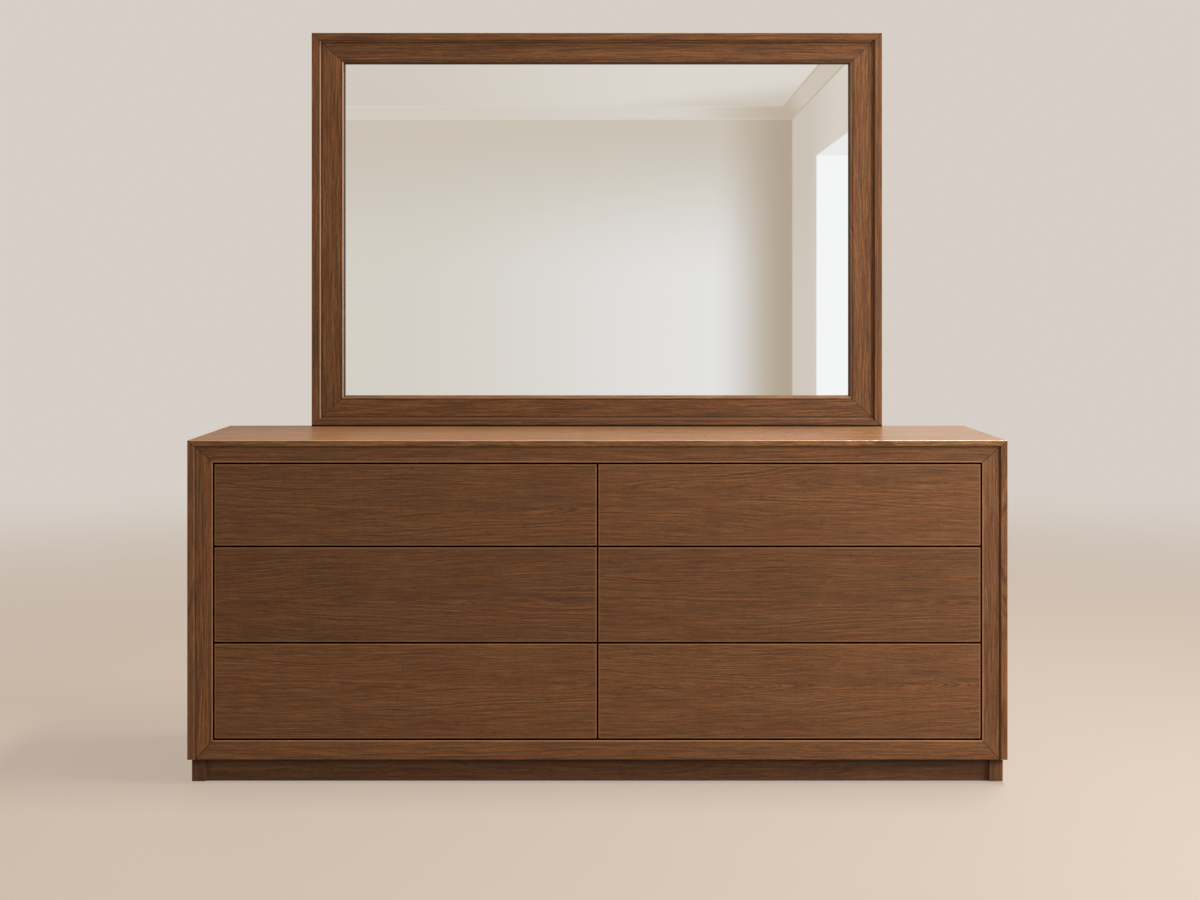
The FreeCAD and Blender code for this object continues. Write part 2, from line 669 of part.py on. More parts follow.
def wall_brackets():
    """Two steel angles on the back, each with a hole for a strap to the wall."""
    x0, x1 = -BRACKET_FROM_CENTRE - BRACKET_WIDTH / 2, -BRACKET_FROM_CENTRE + BRACKET_WIDTH / 2
    top, under = BRACKET_LEVEL, BRACKET_LEVEL - BRACKET_THICKNESS
    plate = board(x0, x1, CASE_BACK, CASE_BACK + BRACKET_THICKNESS, top - BRACKET_HEIGHT, top)
    shelf = board(x0, x1, CASE_BACK, CASE_BACK + BRACKET_REACH, under, top)
    middle = CASE_BACK + (BRACKET_THICKNESS + BRACKET_REACH) / 2
    below = Vector(-BRACKET_FROM_CENTRE, middle, under)
    hole = Part.makeCylinder(BRACKET_HOLE_RADIUS, BRACKET_THICKNESS, below)
    angle = drilled(plate.fuse(shelf).removeSplitter().cut(hole))
    return both_sides(angle)


def main():
    """Builds every piece and writes its node."""
    os.makedirs("parts", exist_ok=True)
    left_side = side_panel_left()
    save("top_panel", top_panel())
    save("side_panel_left", left_side)
    save("side_panel_right", mirrored(left_side))
    save("bottom_panel", bottom_panel())
    save("back_panel", drilled(back_panel()))
    save("centre_partition", centre_partition())
    save("rear_rails", [drilled(rail) for rail in rear_rails()])
    for name, member in face_frame().items():
        save(name, member)

    save("plinth_corner_feet", corner_feet())
    save("plinth_front_board", plinth_board(FOOT_FRONT + PLINTH_BOARD_RECESS))
    save("plinth_rear_board", plinth_board(FOOT_REAR - PLINTH_BOARD_RECESS - PLINTH_BOARD_THICKNESS))
    save("plinth_end_boards", plinth_end_boards())
    save("centre_support_foot", centre_foot())
    save("floor_glides", floor_glides())

    save("slide_packers", slide_packers())
    save_drawers()

    for name, member in mirror_frame().items():
        save(name, drilled(member) if "stile" in name else member)
    save("mirror_glass", mirror_glass())
    save("mirror_backing_board", mirror_backing())
    save("mirror_turn_buttons", turn_buttons())
    save("mirror_posts", mirror_posts())
    save("back_screws", screws())
    save("wall_strap_brackets", wall_brackets())


main()
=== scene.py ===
"""The looks of the dresser with mirror: veneer, lacquer, steel, silvered glass, and the studio around them.

Everything is in metres in the row frame: X to the right, Y to the back, Z up, floor at zero.
"""
import logging
import math
from dataclasses import dataclass, replace
from enum import Enum
from typing import ClassVar, Iterable, Sequence, Union

import bmesh
import bpy
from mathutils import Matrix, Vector


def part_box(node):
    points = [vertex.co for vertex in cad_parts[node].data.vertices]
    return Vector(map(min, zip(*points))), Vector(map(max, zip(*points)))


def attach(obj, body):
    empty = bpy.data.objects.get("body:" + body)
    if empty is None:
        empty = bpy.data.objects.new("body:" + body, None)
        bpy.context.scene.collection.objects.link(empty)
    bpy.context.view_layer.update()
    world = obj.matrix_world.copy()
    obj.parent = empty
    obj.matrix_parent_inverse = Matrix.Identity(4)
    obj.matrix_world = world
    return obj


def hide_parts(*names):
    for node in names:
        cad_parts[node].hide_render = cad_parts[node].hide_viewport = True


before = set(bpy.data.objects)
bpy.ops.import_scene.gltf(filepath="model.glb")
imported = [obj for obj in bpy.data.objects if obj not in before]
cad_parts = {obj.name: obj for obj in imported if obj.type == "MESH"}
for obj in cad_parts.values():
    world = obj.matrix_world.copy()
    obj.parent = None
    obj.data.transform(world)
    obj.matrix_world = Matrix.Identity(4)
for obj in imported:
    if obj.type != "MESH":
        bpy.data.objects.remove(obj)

LOG = logging.getLogger("dresser")
MM = 0.001
FAR = 100.0

Colour = tuple[float, float, float]
Triple = tuple[float, float, float]
Pair = tuple[float, float]
Socket = bpy.types.NodeSocket
Outputs = bpy.types.NodeOutputs
Material = bpy.types.Material
Mesh = bmesh.types.BMesh
Value = Union[float, Sequence[float], Socket]

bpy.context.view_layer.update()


# Shader writing -----------------------------------------------------------------------------------------

# The colour sockets of a Mix node share their names with its number sockets, so they go by their place.
MIX_FACTOR, MIX_FIRST, MIX_SECOND, MIX_RESULT = 0, 6, 7, 2


@dataclass(frozen=True)
class Noise:
    """A noise: its waves to the metre along each axis, its octaves, how rough they are, and its swing."""

    stretch: Triple
    detail: float = 2.0
    roughness: float = 0.5
    swing: float = 1.0


class Sheet:
    """A node tree being written, with short calls for the nodes that the finishes use."""

    def __init__(self, tree: bpy.types.NodeTree) -> None:
        """Takes the node tree of a material, a world or a group to write in."""
        self.tree = tree

    def feed(self, socket: Socket, value: Value) -> None:
        """Links a socket to another, or sets its value.

        Args:
            socket: the input socket to fill.
            value: an output socket, a number, or a tuple of numbers.
        """
        if isinstance(value, Socket):
            self.tree.links.new(value, socket)
        elif socket.type == "RGBA":
            socket.default_value = (*value[:3], 1.0)
        else:
            socket.default_value = value

    def fill(self, node: bpy.types.Node, inputs: dict[str, Value]) -> None:
        """Feeds a node's inputs with values or sockets, by input name."""
        for name, value in inputs.items():
            self.feed(node.inputs[name], value)

    def node(self, kind: str, inputs: dict[str, Value] | None = None, **settings: object) -> bpy.types.Node:
        """Adds a node.

        Args:
            kind: the node's type, without the leading ShaderNode.
            inputs: values or sockets for its inputs, by input name.
            **settings: attributes to set on the node before its inputs are filled.

        Returns:
            The new node.
        """
        made = self.tree.nodes.new(f"ShaderNode{kind}")
        for name, setting in settings.items():
            setattr(made, name, setting)
        self.fill(made, inputs or {})
        return made

    def operate(self, kind: str, values: Sequence[Value], **settings: object) -> bpy.types.Node:
        """Adds a node that works on operands.

        Args:
            kind: the node's type, without the leading ShaderNode.
            values: its operands in their order, as values or sockets.
            **settings: attributes to set on the node, such as its operation.

        Returns:
            The new node.
        """
        made = self.node(kind, **settings)
        for socket, value in zip(made.inputs, values):
            self.feed(socket, value)
        return made

    def math(self, operation: str, *values: Value, clamp: bool = False) -> Socket:
        """Works out a number from numbers, and holds it between 0 and 1 where clamp is set."""
        return self.operate("Math", values, operation=operation, use_clamp=clamp).outputs[0]

    def add(self, first: Value, second: Value) -> Socket:
        """Adds two numbers."""
        return self.math("ADD", first, second)

    def less(self, first: Value, second: Value) -> Socket:
        """Takes the second number from the first."""
        return self.math("SUBTRACT", first, second)

    def times(self, first: Value, second: Value) -> Socket:
        """Multiplies two numbers."""
        return self.math("MULTIPLY", first, second)

    def vector(self, operation: str, *values: Value) -> Socket:
        """Works out a vector from vectors."""
        return self.operate("VectorMath", values, operation=operation).outputs["Vector"]

    def reach(self, vector: Value, direction: Value) -> Socket:
        """Measures how far a vector reaches along a direction."""
        return self.operate("VectorMath", (vector, direction), operation="DOT_PRODUCT").outputs["Value"]

    def length(self, vector: Value) -> Socket:
        """Measures how long a vector is."""
        return self.operate("VectorMath", (vector,), operation="LENGTH").outputs["Value"]

    def scale(self, vector: Value, factor: Value) -> Socket:
        """Scales a vector or a colour by a number."""
        inputs = {"Vector": vector, "Scale": factor}
        return self.node("VectorMath", inputs, operation="SCALE").outputs["Vector"]

    def axes(self, vector: Value) -> Outputs:
        """Takes a vector apart into X, Y and Z."""
        return self.node("SeparateXYZ", {"Vector": vector}).outputs

    def noise(self, vector: Value, kind: Noise) -> Socket:
        """Adds a stretched noise that is about 0.5 on average."""
        return self.node("TexNoise", {"Vector": self.vector("MULTIPLY", vector, kind.stretch), "Scale": 1.0,
                                      "Detail": kind.detail, "Roughness": kind.roughness}).outputs[0]

    def drift(self, vector: Value, kind: Noise) -> Socket:
        """Adds a stretched noise that swings around zero."""
        return self.swing(self.noise(vector, kind), kind.swing)

    def line_noise(self, value: Value, detail: float) -> Socket:
        """Adds a noise along a single value, such as a distance."""
        inputs = {"W": value, "Scale": 1.0, "Detail": detail}
        return self.node("TexNoise", inputs, noise_dimensions="1D").outputs[0]

    def swing(self, value: Value, amount: Value) -> Socket:
        """Centres a 0 to 1 value on zero and scales it by amount."""
        return self.times(self.less(value, 0.5), amount)

    def step(self, value: Value, low: Value, high: Value) -> Socket:
        """Rises smoothly from 0 where the value is low to 1 where it is high."""
        inputs = {"Value": value, "From Min": low, "From Max": high}
        return self.node("MapRange", inputs, interpolation_type="SMOOTHSTEP").outputs["Result"]

    def share(self, first: Value, second: Value, part: float) -> Socket:
        """Adds up two numbers, of which the first counts for a part and the second for the rest."""
        return self.add(self.times(first, part), self.times(second, 1.0 - part))

    def blend(self, factor: Value, first: Value, second: Value) -> Socket:
        """Mixes two colours.

        Args:
            factor: 0 for the first, 1 for the second.
            first: a colour or socket.
            second: a colour or socket.

        Returns:
            The mixed colour's socket.
        """
        made = self.node("Mix", data_type="RGBA")
        for place, value in ((MIX_FACTOR, factor), (MIX_FIRST, first), (MIX_SECOND, second)):
            self.feed(made.inputs[place], value)
        return made.outputs[MIX_RESULT]

    def bump(self, height: Value, strength: float, depth: float) -> Socket:
        """Turns a height of 0 to 1 into a normal, for a relief of a strength and a depth."""
        inputs = {"Strength": strength, "Distance": depth, "Height": height}
        return self.node("Bump", inputs).outputs["Normal"]

    def seen(self) -> Socket:
        """Gives 1 for camera, glossy and transmission rays and 0 for the rest.

        Returns:
            The mask's socket.
        """
        rays = self.node("LightPath").outputs
        mirrored = self.math("MAXIMUM", rays["Is Glossy Ray"], rays["Is Transmission Ray"])
        return self.math("MAXIMUM", rays["Is Camera Ray"], mirrored)

    def show(self, plain: bpy.types.Node, shown: bpy.types.Node, factor: Value,
             output: bpy.types.Node) -> None:
        """Puts out one shader where the factor is 0 and another where it is 1.

        Args:
            plain: the node of the first shader.
            shown: the node of the second.
            factor: how much of the second to take.
            output: the tree's output node.
        """
        mixed = self.node("MixShader", {"Fac": factor})
        self.tree.links.new(plain.outputs[0], mixed.inputs[1])
        self.tree.links.new(shown.outputs[0], mixed.inputs[2])
        self.tree.links.new(mixed.outputs[0], output.inputs["Surface"])


class MaterialSheet(Sheet):
    """A new material being written, with its shader, its output and its object coordinates at hand."""

    def __init__(self, title: str) -> None:
        """Makes the material.

        Args:
            title: its name.
        """
        self.material = bpy.data.materials.new(title)
        self.material.use_nodes = True
        super().__init__(self.material.node_tree)
        self.shader = self.tree.nodes["Principled BSDF"]
        self.output = self.tree.nodes["Material Output"]
        self.place = self.node("TexCoord").outputs["Object"]


class SharedEffect:
    """A shader node group that several finishes use, built the first time it is placed."""

    title: ClassVar[str]
    takes: ClassVar[dict[str, object]]
    gives: ClassVar[dict[str, str]]

    @classmethod
    def place(cls, sheet: Sheet, inputs: dict[str, Value]) -> Outputs:
        """Places the group in a material, fills its inputs by name, and gives its outputs."""
        tree = bpy.data.node_groups.get(cls.title) or cls._build()
        return sheet.node("Group", inputs, node_tree=tree).outputs

    @classmethod
    def _build(cls) -> bpy.types.NodeTree:
        """Makes the group's tree and its sockets, and lets the effect write its nodes.

        Returns:
            The finished tree.
        """
        tree = bpy.data.node_groups.new(cls.title, "ShaderNodeTree")
        for name, default in cls.takes.items():
            size = len(default) if isinstance(default, tuple) else 1
            kind = {1: "NodeSocketFloat", 3: "NodeSocketVector", 4: "NodeSocketColor"}[size]
            socket = tree.interface.new_socket(name=name, in_out="INPUT", socket_type=kind)
            socket.default_value = default
        for name, kind in cls.gives.items():
            tree.interface.new_socket(name=name, in_out="OUTPUT", socket_type=kind)
        sheet = Sheet(tree)
        taken = tree.nodes.new("NodeGroupInput").outputs
        given = tree.nodes.new("NodeGroupOutput")
        sheet.fill(given, cls.write(sheet, taken))
        return tree

    @classmethod
    def write(cls, sheet: Sheet, taken: Outputs) -> dict[str, Socket]:
        """Writes the effect's nodes.

        Args:
            sheet: the group's sheet.
            taken: the group's inputs, by name.

        Returns:
            The sockets to put out, by output name.
        """
        raise NotImplementedError


class WoodGrain(SharedEffect):
    """Growth rings, streaks, fibres and pores of a board, in coordinates along, across and into it."""

    title = "wood_grain"
    takes = {
        "Vector": (0.0, 0.0, 0.0),
        "Dark": (0.06, 0.03, 0.01, 1.0),
        "Middle": (0.12, 0.05, 0.02, 1.0),
        "Light": (0.20, 0.09, 0.04, 1.0),
        "Taper": 0.05,
        "Heart Depth": 0.03,
        "Rings per Metre": 150.0,
        "Ring Contrast": 0.3,
        "Streak Contrast": 1.0,
        "Pore Strength": 0.5,
    }
    gives = {"Color": "NodeSocketColor", "Height": "NodeSocketFloat", "Gloss Loss": "NodeSocketFloat"}

    wander = Noise((2.1, 6.5, 6.5), swing=0.026)
    curl = Noise((19.0, 60.0, 60.0), swing=0.0042)
    rise = Noise((2.6, 6.0, 6.0), swing=0.034)
    loops = Noise((2.6, 15.0, 15.0), 1.0, 0.4, 0.030)
    ring_detail = 1.0
    late_wood = (0.44, 0.60)
    patches = Noise((3.2, 15.0, 15.0), 1.0)
    patch_edges = (0.28, 0.62)
    broad = Noise((1.5, 17.0, 17.0), 3.0, 0.55, 0.42)
    streaks = Noise((7.0, 250.0, 250.0), 3.0, 0.62, 1.65)
    fibres = Noise((28.0, 640.0, 640.0), 2.0, 0.6, 1.15)
    warmth = Noise((4.5, 60.0, 60.0), 3.0, 0.65)
    warmth_edges = (0.34, 0.68)
    cool, warm = (0.95, 1.01, 1.08), (1.05, 0.99, 0.93)
    pores = Noise((85.0, 1250.0, 1250.0), 0.0)
    pore_edges = (0.66, 0.73)
    pore_ink = (0.45, 0.42, 0.40)
    streak_relief, fibre_relief = 0.5, 0.35

    @classmethod
    def write(cls, sheet: Sheet, taken: Outputs) -> dict[str, Socket]:
        """Writes the rings as tapering shells around the heart, and the streaks as stretched noise.

        Args:
            sheet: the group's sheet.
            taken: the group's inputs, by name.

        Returns:
            The colour, the height for a bump and how much gloss the pores lose.
        """
        place = taken["Vector"]
        along, across, into = sheet.axes(place)
        sway = sheet.add(sheet.drift(place, cls.wander), sheet.drift(place, cls.curl))
        sideways = sheet.add(across, sway)
        fibre_place = sheet.node("CombineXYZ", {"X": along, "Y": sideways, "Z": into}).outputs[0]

        heart = sheet.add(taken["Heart Depth"], sheet.add(into, sheet.drift(place, cls.rise)))
        squared = sheet.add(sheet.times(sideways, sideways), sheet.times(heart, heart))
        taper = sheet.math("MULTIPLY_ADD", along, taken["Taper"], sheet.drift(place, cls.loops))
        radius = sheet.add(sheet.math("SQRT", squared), taper)
        ring = sheet.line_noise(sheet.times(radius, taken["Rings per Metre"]), cls.ring_detail)
        late = sheet.step(ring, *cls.late_wood)
        patchy = sheet.step(sheet.noise(place, cls.patches), *cls.patch_edges)
        figure = sheet.times(sheet.swing(late, taken["Ring Contrast"]), patchy)

        streak_noise = sheet.noise(fibre_place, cls.streaks)
        streaks = sheet.swing(streak_noise, cls.streaks.swing)
        fibre_noise = sheet.noise(fibre_place, cls.fibres)
        fibres = sheet.swing(fibre_noise, cls.fibres.swing)
        added = sheet.add(streaks, sheet.add(sheet.drift(fibre_place, cls.broad), fibres))
        mixed = sheet.times(added, taken["Streak Contrast"])
        tone = sheet.math("SUBTRACT", sheet.add(mixed, 0.5), figure, clamp=True)

        lower = sheet.blend(sheet.math("MULTIPLY", tone, 2.0, clamp=True), taken["Dark"], taken["Middle"])
        upper = sheet.math("MULTIPLY_ADD", tone, 2.0, -1.0, clamp=True)
        body = sheet.blend(upper, lower, taken["Light"])
        warmth = sheet.step(sheet.noise(fibre_place, cls.warmth), *cls.warmth_edges)
        body = sheet.vector("MULTIPLY", body, sheet.blend(warmth, cls.cool, cls.warm))

        pores = sheet.step(sheet.noise(fibre_place, cls.pores), *cls.pore_edges)
        pore_colour = sheet.vector("MULTIPLY", taken["Dark"], cls.pore_ink)
        colour = sheet.blend(sheet.times(pores, taken["Pore Strength"]), body, pore_colour)

        raised = sheet.math("MULTIPLY_ADD", streak_noise, cls.streak_relief,
                            sheet.times(fibre_noise, cls.fibre_relief))
        return {"Color": colour, "Height": sheet.less(raised, pores), "Gloss Loss": pores}


class ArrisWearAndHighlight(SharedEffect):
    """A mask of the sharp edges of a piece, read from its own box and broken up in patches, for their rubbing
    and for the painted highlight that they catch.
    """

    title = "arris_wear_and_highlight"
    takes = {
        "Vector": (0.0, 0.0, 0.0),
        "Low Corner": (0.0, 0.0, 0.0),
        "High Corner": (1.0, 1.0, 1.0),
        "Width": 0.002,
        "Patchiness": 0.5,
    }
    gives = {"Wear And Highlight": "NodeSocketFloat"}

    full_share = 0.55
    patches = Noise((22.0, 22.0, 22.0), 3.0, 0.6)

    @classmethod
    def write(cls, sheet: Sheet, taken: Outputs) -> dict[str, Socket]:
        """Takes the second smallest of the distances to the three pairs of faces.

        Args:
            sheet: the group's sheet.
            taken: the group's inputs, by name.

        Returns:
            The wear mask.
        """
        place = taken["Vector"]
        gaps = sheet.vector("MINIMUM", sheet.vector("SUBTRACT", place, taken["Low Corner"]),
                            sheet.vector("SUBTRACT", taken["High Corner"], place))
        x, y, z = sheet.axes(gaps)
        least, most, total = (sheet.math(operation, x, sheet.math(operation, y, z))
                              for operation in ("MINIMUM", "MAXIMUM", "ADD"))
        edge = sheet.less(total, sheet.add(least, most))
        inner = sheet.times(taken["Width"], cls.full_share)
        near = sheet.less(1.0, sheet.step(edge, inner, taken["Width"]))
        patches = sheet.noise(place, cls.patches)
        broken = sheet.less(1.0, sheet.times(patches, taken["Patchiness"]))
        return {"Wear And Highlight": sheet.math("MULTIPLY", near, broken, clamp=True)}


class BandMask(SharedEffect):
    """A mask that rises at one distance along a direction and falls again at another."""

    title = "band_mask"
    takes = {"Vector": (0.0, 0.0, 0.0), "Direction": (0.0, 1.0, 0.0), "Start": 0.0, "Full": 0.001,
             "Fade": 1.0, "End": 1.001}
    gives = {"Mask": "NodeSocketFloat"}

    @classmethod
    def write(cls, sheet: Sheet, taken: Outputs) -> dict[str, Socket]:
        """Steps up and down along the direction.

        Args:
            sheet: the group's sheet.
            taken: the group's inputs, by name.

        Returns:
            The mask.
        """
        distance = sheet.reach(taken["Vector"], taken["Direction"])
        rise = sheet.step(distance, taken["Start"], taken["Full"])
        fall = sheet.step(distance, taken["Fade"], taken["End"])
        return {"Mask": sheet.math("SUBTRACT", rise, fall, clamp=True)}


class MitreSeam(SharedEffect):
    """A thin dark line where two mitred members meet, in the X and Z of the member's own corner."""

    title = "mitre_seam"
    takes = {"Vector": (0.0, 0.0, 0.0), "Corner X": 0.9, "Corner Z": 0.7, "Slope": 1.0, "Width": 0.0006}
    gives = {"Seam": "NodeSocketFloat"}

    @classmethod
    def write(cls, sheet: Sheet, taken: Outputs) -> dict[str, Socket]:
        """Measures how far a point is from the diagonal through the corner.

        Args:
            sheet: the group's sheet.
            taken: the group's inputs, by name.

        Returns:
            The seam mask.
        """
        x, _, z = sheet.axes(taken["Vector"])
        inward = sheet.less(taken["Corner X"], sheet.math("ABSOLUTE", x))
        level = sheet.times(sheet.less(taken["Corner Z"], z), taken["Slope"])
        apart = sheet.math("ABSOLUTE", sheet.less(inward, level))
        return {"Seam": sheet.less(1.0, sheet.step(apart, 0.0, taken["Width"]))}


class HandledSheen(SharedEffect):
    """Slow changes of gloss over a surface, as lacquer or metal has after handling and wiping."""

    title = "handled_sheen"
    takes = {"Vector": (0.0, 0.0, 0.0), "Roughness": 0.4, "Spread": 0.1, "Scale": 6.0}
    gives = {"Roughness": "NodeSocketFloat"}

    slow = Noise((1.0, 1.0, 1.0), 3.0, 0.55)
    wiped = Noise((4.0, 17.0, 17.0), 2.0, 0.5)
    wiped_part = 0.4

    @classmethod
    def write(cls, sheet: Sheet, taken: Outputs) -> dict[str, Socket]:
        """Adds a slow and a finer noise to the roughness.

        Args:
            sheet: the group's sheet.
            taken: the group's inputs, by name.

        Returns:
            The varied roughness.
        """
        scaled = sheet.scale(taken["Vector"], taken["Scale"])
        wiped = sheet.times(sheet.noise(scaled, cls.wiped), cls.wiped_part)
        both = sheet.add(sheet.noise(scaled, cls.slow), wiped)
        centred = sheet.less(both, (1.0 + cls.wiped_part) / 2)
        varied = sheet.times(centred, taken["Spread"])
        return {"Roughness": sheet.math("ADD", taken["Roughness"], varied, clamp=True)}


# Finishes -----------------------------------------------------------------------------------------------

# Near-black painted shade: on the hidden boards' front edges seen through the gaps, and the painted contact
# shadow under the mirror frame.
SHADOW_BLACK = (0.0016, 0.0008, 0.0005)
# A dark stain on the gap sides of the fronts and the face frame, which also paints the shade in the gaps.
EDGE_STAIN_AND_GAP_SHADE = (0.0130, 0.0060, 0.0030)
# Dark joint lines, and painted shade in quirks, recesses, bevels and under overhangs.
JOINT_AND_SHADE_DARK = (0.008, 0.004, 0.002)


class Grain(Enum):
    """How a board lies: the axes along its grain, across its face and into its thickness."""

    TOP = ("X", "Y", "Z")
    FRONT = ("X", "Z", "Y")
    UPRIGHT = ("Z", "X", "Y")
    SIDE = ("Z", "Y", "X")
    DEEP = ("Y", "Z", "X")

    def coordinates(self, sheet: Sheet, place: Value, middle: Triple) -> Socket:
        """Turns object coordinates into ones along, across and into the board, from a point of the board."""
        parts = sheet.axes(sheet.vector("SUBTRACT", place, middle))
        return sheet.node("CombineXYZ", dict(zip("XYZ", (parts[axis] for axis in self.value)))).outputs[0]


@dataclass(frozen=True)
class Figure:
    """Where a board was cut from its log: the heart's place on the board, its taper, depth and rings."""

    middle: Triple
    taper: float = 0.05
    depth: float = 0.02
    rings: float = 340.0
    contrast: float = 0.42
    tone: float = 1.0


class Way(Enum):
    """The directions in which tints are measured."""

    RIGHT = (1.0, 0.0, 0.0)
    LEFT = (-1.0, 0.0, 0.0)
    BACK = (0.0, 1.0, 0.0)
    FRONT = (0.0, -1.0, 0.0)
    UP = (0.0, 0.0, 1.0)
    DOWN = (0.0, 0.0, -1.0)


@dataclass(frozen=True)
class Mitre:
    """The diagonal joint of a member: its outer corner and how far it runs across for each step down."""

    corner_x: float
    corner_z: float
    slope: float


@dataclass(frozen=True)
class Tint:
    """A change of colour from one distance along a direction, for good or up to a second distance."""

    way: Way
    start: float
    colour: Colour
    strength: float = 1.0
    end: float = FAR
    soft: float = 0.6 * MM

    def lay(self, sheet: MaterialSheet, colour: Value) -> Socket:
        """Lays the tint over a colour.

        Args:
            sheet: the material's sheet.
            colour: the colour under it.

        Returns:
            The tinted colour.
        """
        half = self.soft / 2
        mask = BandMask.place(sheet, {
            "Vector": sheet.place, "Direction": self.way.value, "Start": self.start - half,
            "Full": self.start + half, "Fade": self.end - half, "End": self.end + half,
        })["Mask"]
        return sheet.blend(sheet.times(mask, self.strength), colour, self.colour)


@dataclass(frozen=True)
class WoodFinish:
    """A wood and its lacquer."""

    title: str
    dark: Colour
    middle: Colour
    light: Colour
    # The lighter arrises: rubbing of the lacquer, and a painted highlight where the edges catch the light.
    worn_and_lit: Colour
    wear_and_highlight: float = 0.5
    wear_and_highlight_width: float = 1.7 * MM
    wear_and_highlight_breaks: float = 0.5
    streaks: float = 1.0
    pores: float = 0.5
    roughness: float = 0.42
    gloss_spread: float = 0.12
    gloss_scale: float = 5.0
    pore_gloss_loss: float = 0.2
    coat: float = 0.05
    polished_end: float | None = None
    polish_fade: Pair = (1.2 * MM, 0.2 * MM)
    coat_roughness: float = 0.2
    specular: float = 0.14
    relief: float = 0.18
    relief_depth: float = 0.4 * MM
    seam: Colour = (0.020, 0.009, 0.004)
    seam_width: float = 1.8 * MM

    def dress(self, node: str, grain: Grain, figure: Figure, mitres: Iterable[Mitre] = (),
              tints: Iterable[Tint] = (), spared: Iterable[Way] = ()) -> None:
        """Makes the material of one board and gives it to the board.

        Args:
            node: the board's node name, whose box gives its arrises.
            grain: how the board lies.
            figure: how it was cut.
            mitres: its diagonal joints.
            tints: its changes of colour with place.
            spared: the sides whose arrises get neither rubbing nor a painted highlight.
        """
        sheet = MaterialSheet(f"{self.title}_{node}")
        turned = grain.coordinates(sheet, sheet.place, figure.middle)
        dark, middle, light = (tuple(channel * figure.tone for channel in colour)
                               for colour in (self.dark, self.middle, self.light))
        wood = WoodGrain.place(sheet, {
            "Vector": turned, "Dark": dark, "Middle": middle, "Light": light,
            "Taper": figure.taper, "Heart Depth": figure.depth, "Rings per Metre": figure.rings,
            "Ring Contrast": figure.contrast, "Streak Contrast": self.streaks, "Pore Strength": self.pores,
        })
        # Lightens the arrises: rubbing, and a painted highlight where they catch the light.
        worn_and_lit = sheet.times(self._arrises(sheet, node, spared), self.wear_and_highlight)
        colour = sheet.blend(worn_and_lit, wood["Color"], self.worn_and_lit)
        for mitre in mitres:
            seam = MitreSeam.place(sheet, {
                "Vector": sheet.place, "Corner X": mitre.corner_x, "Corner Z": mitre.corner_z,
                "Slope": mitre.slope, "Width": self.seam_width,
            })["Seam"]
            colour = sheet.blend(seam, colour, self.seam)
        for tint in tints:
            colour = tint.lay(sheet, colour)
        gloss = HandledSheen.place(sheet, {
            "Vector": turned, "Roughness": self.roughness, "Spread": self.gloss_spread,
            "Scale": self.gloss_scale,
        })["Roughness"]
        sheet.fill(sheet.shader, {
            "Base Color": colour,
            "Roughness": sheet.math("MULTIPLY_ADD", wood["Gloss Loss"], self.pore_gloss_loss, gloss),
            "Normal": sheet.bump(wood["Height"], self.relief, self.relief_depth),
        })
        sheet.shader.inputs["Specular IOR Level"].default_value = self.specular
        sheet.shader.inputs["Coat Weight"].default_value = self.coat
        sheet.shader.inputs["Coat Roughness"].default_value = self.coat_roughness
        if self.polished_end is not None:
            sheet.feed(sheet.shader.inputs["Coat Weight"], self._polish(sheet, node))
        dress(node, sheet.material)

    def _arrises(self, sheet: MaterialSheet, node: str, spared: Iterable[Way]) -> Socket:
        """Gives the mask of a board's lightened edges, for rubbing and a painted highlight.

        Args:
            sheet: the material's sheet.
            node: the board's node name.
            spared: the sides whose arrises get neither rubbing nor a painted highlight.

        Returns:
            The mask's socket.
        """
        low, high = (corner.copy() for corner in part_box(node))
        for way in spared:
            side = Vector(way.value)
            (high if sum(side) > 0 else low).xyz += side
        return ArrisWearAndHighlight.place(sheet, {
            "Vector": sheet.place, "Low Corner": tuple(low), "High Corner": tuple(high),
            "Width": self.wear_and_highlight_width, "Patchiness": self.wear_and_highlight_breaks,
        })["Wear And Highlight"]

    def _polish(self, sheet: MaterialSheet, node: str) -> Socket:
        """Gives the coat of a board's upper face, which is polished up towards its right end.

        Args:
            sheet: the material's sheet.
            node: the board's node name.

        Returns:
            The coat's socket.
        """
        low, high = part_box(node)
        x, _, z = sheet.axes(sheet.place)
        shine = sheet.math("MULTIPLY_ADD", sheet.step(x, low.x, high.x), self.polished_end - self.coat,
                            self.coat)
        upper_face = sheet.step(z, *(high.z - drop for drop in self.polish_fade))
        return sheet.times(shine, upper_face)


@dataclass(frozen=True)
class MottledFinish:
    """Steel, pressed board or nylon: two colours in a fine and a broad mottle, with a low relief."""

    title: str
    first: Colour
    second: Colour
    fine: Noise
    broad: Noise
    fine_part: float
    edges: Pair
    roughness: float
    gloss_spread: float
    gloss_scale: float
    relief: float
    relief_depth: float
    metallic: float = 0.0

    def material(self) -> Material:
        """Makes the material.

        Returns:
            The material.
        """
        sheet = MaterialSheet(self.title)
        fine = sheet.noise(sheet.place, self.fine)
        mask = sheet.share(fine, sheet.noise(sheet.place, self.broad), self.fine_part)
        sheet.fill(sheet.shader, {
            "Base Color": sheet.blend(sheet.step(mask, *self.edges), self.first, self.second),
            "Roughness": HandledSheen.place(sheet, {
                "Vector": sheet.place, "Roughness": self.roughness, "Spread": self.gloss_spread,
                "Scale": self.gloss_scale})["Roughness"],
            "Normal": sheet.bump(fine, self.relief, self.relief_depth),
        })
        sheet.shader.inputs["Metallic"].default_value = self.metallic
        return sheet.material


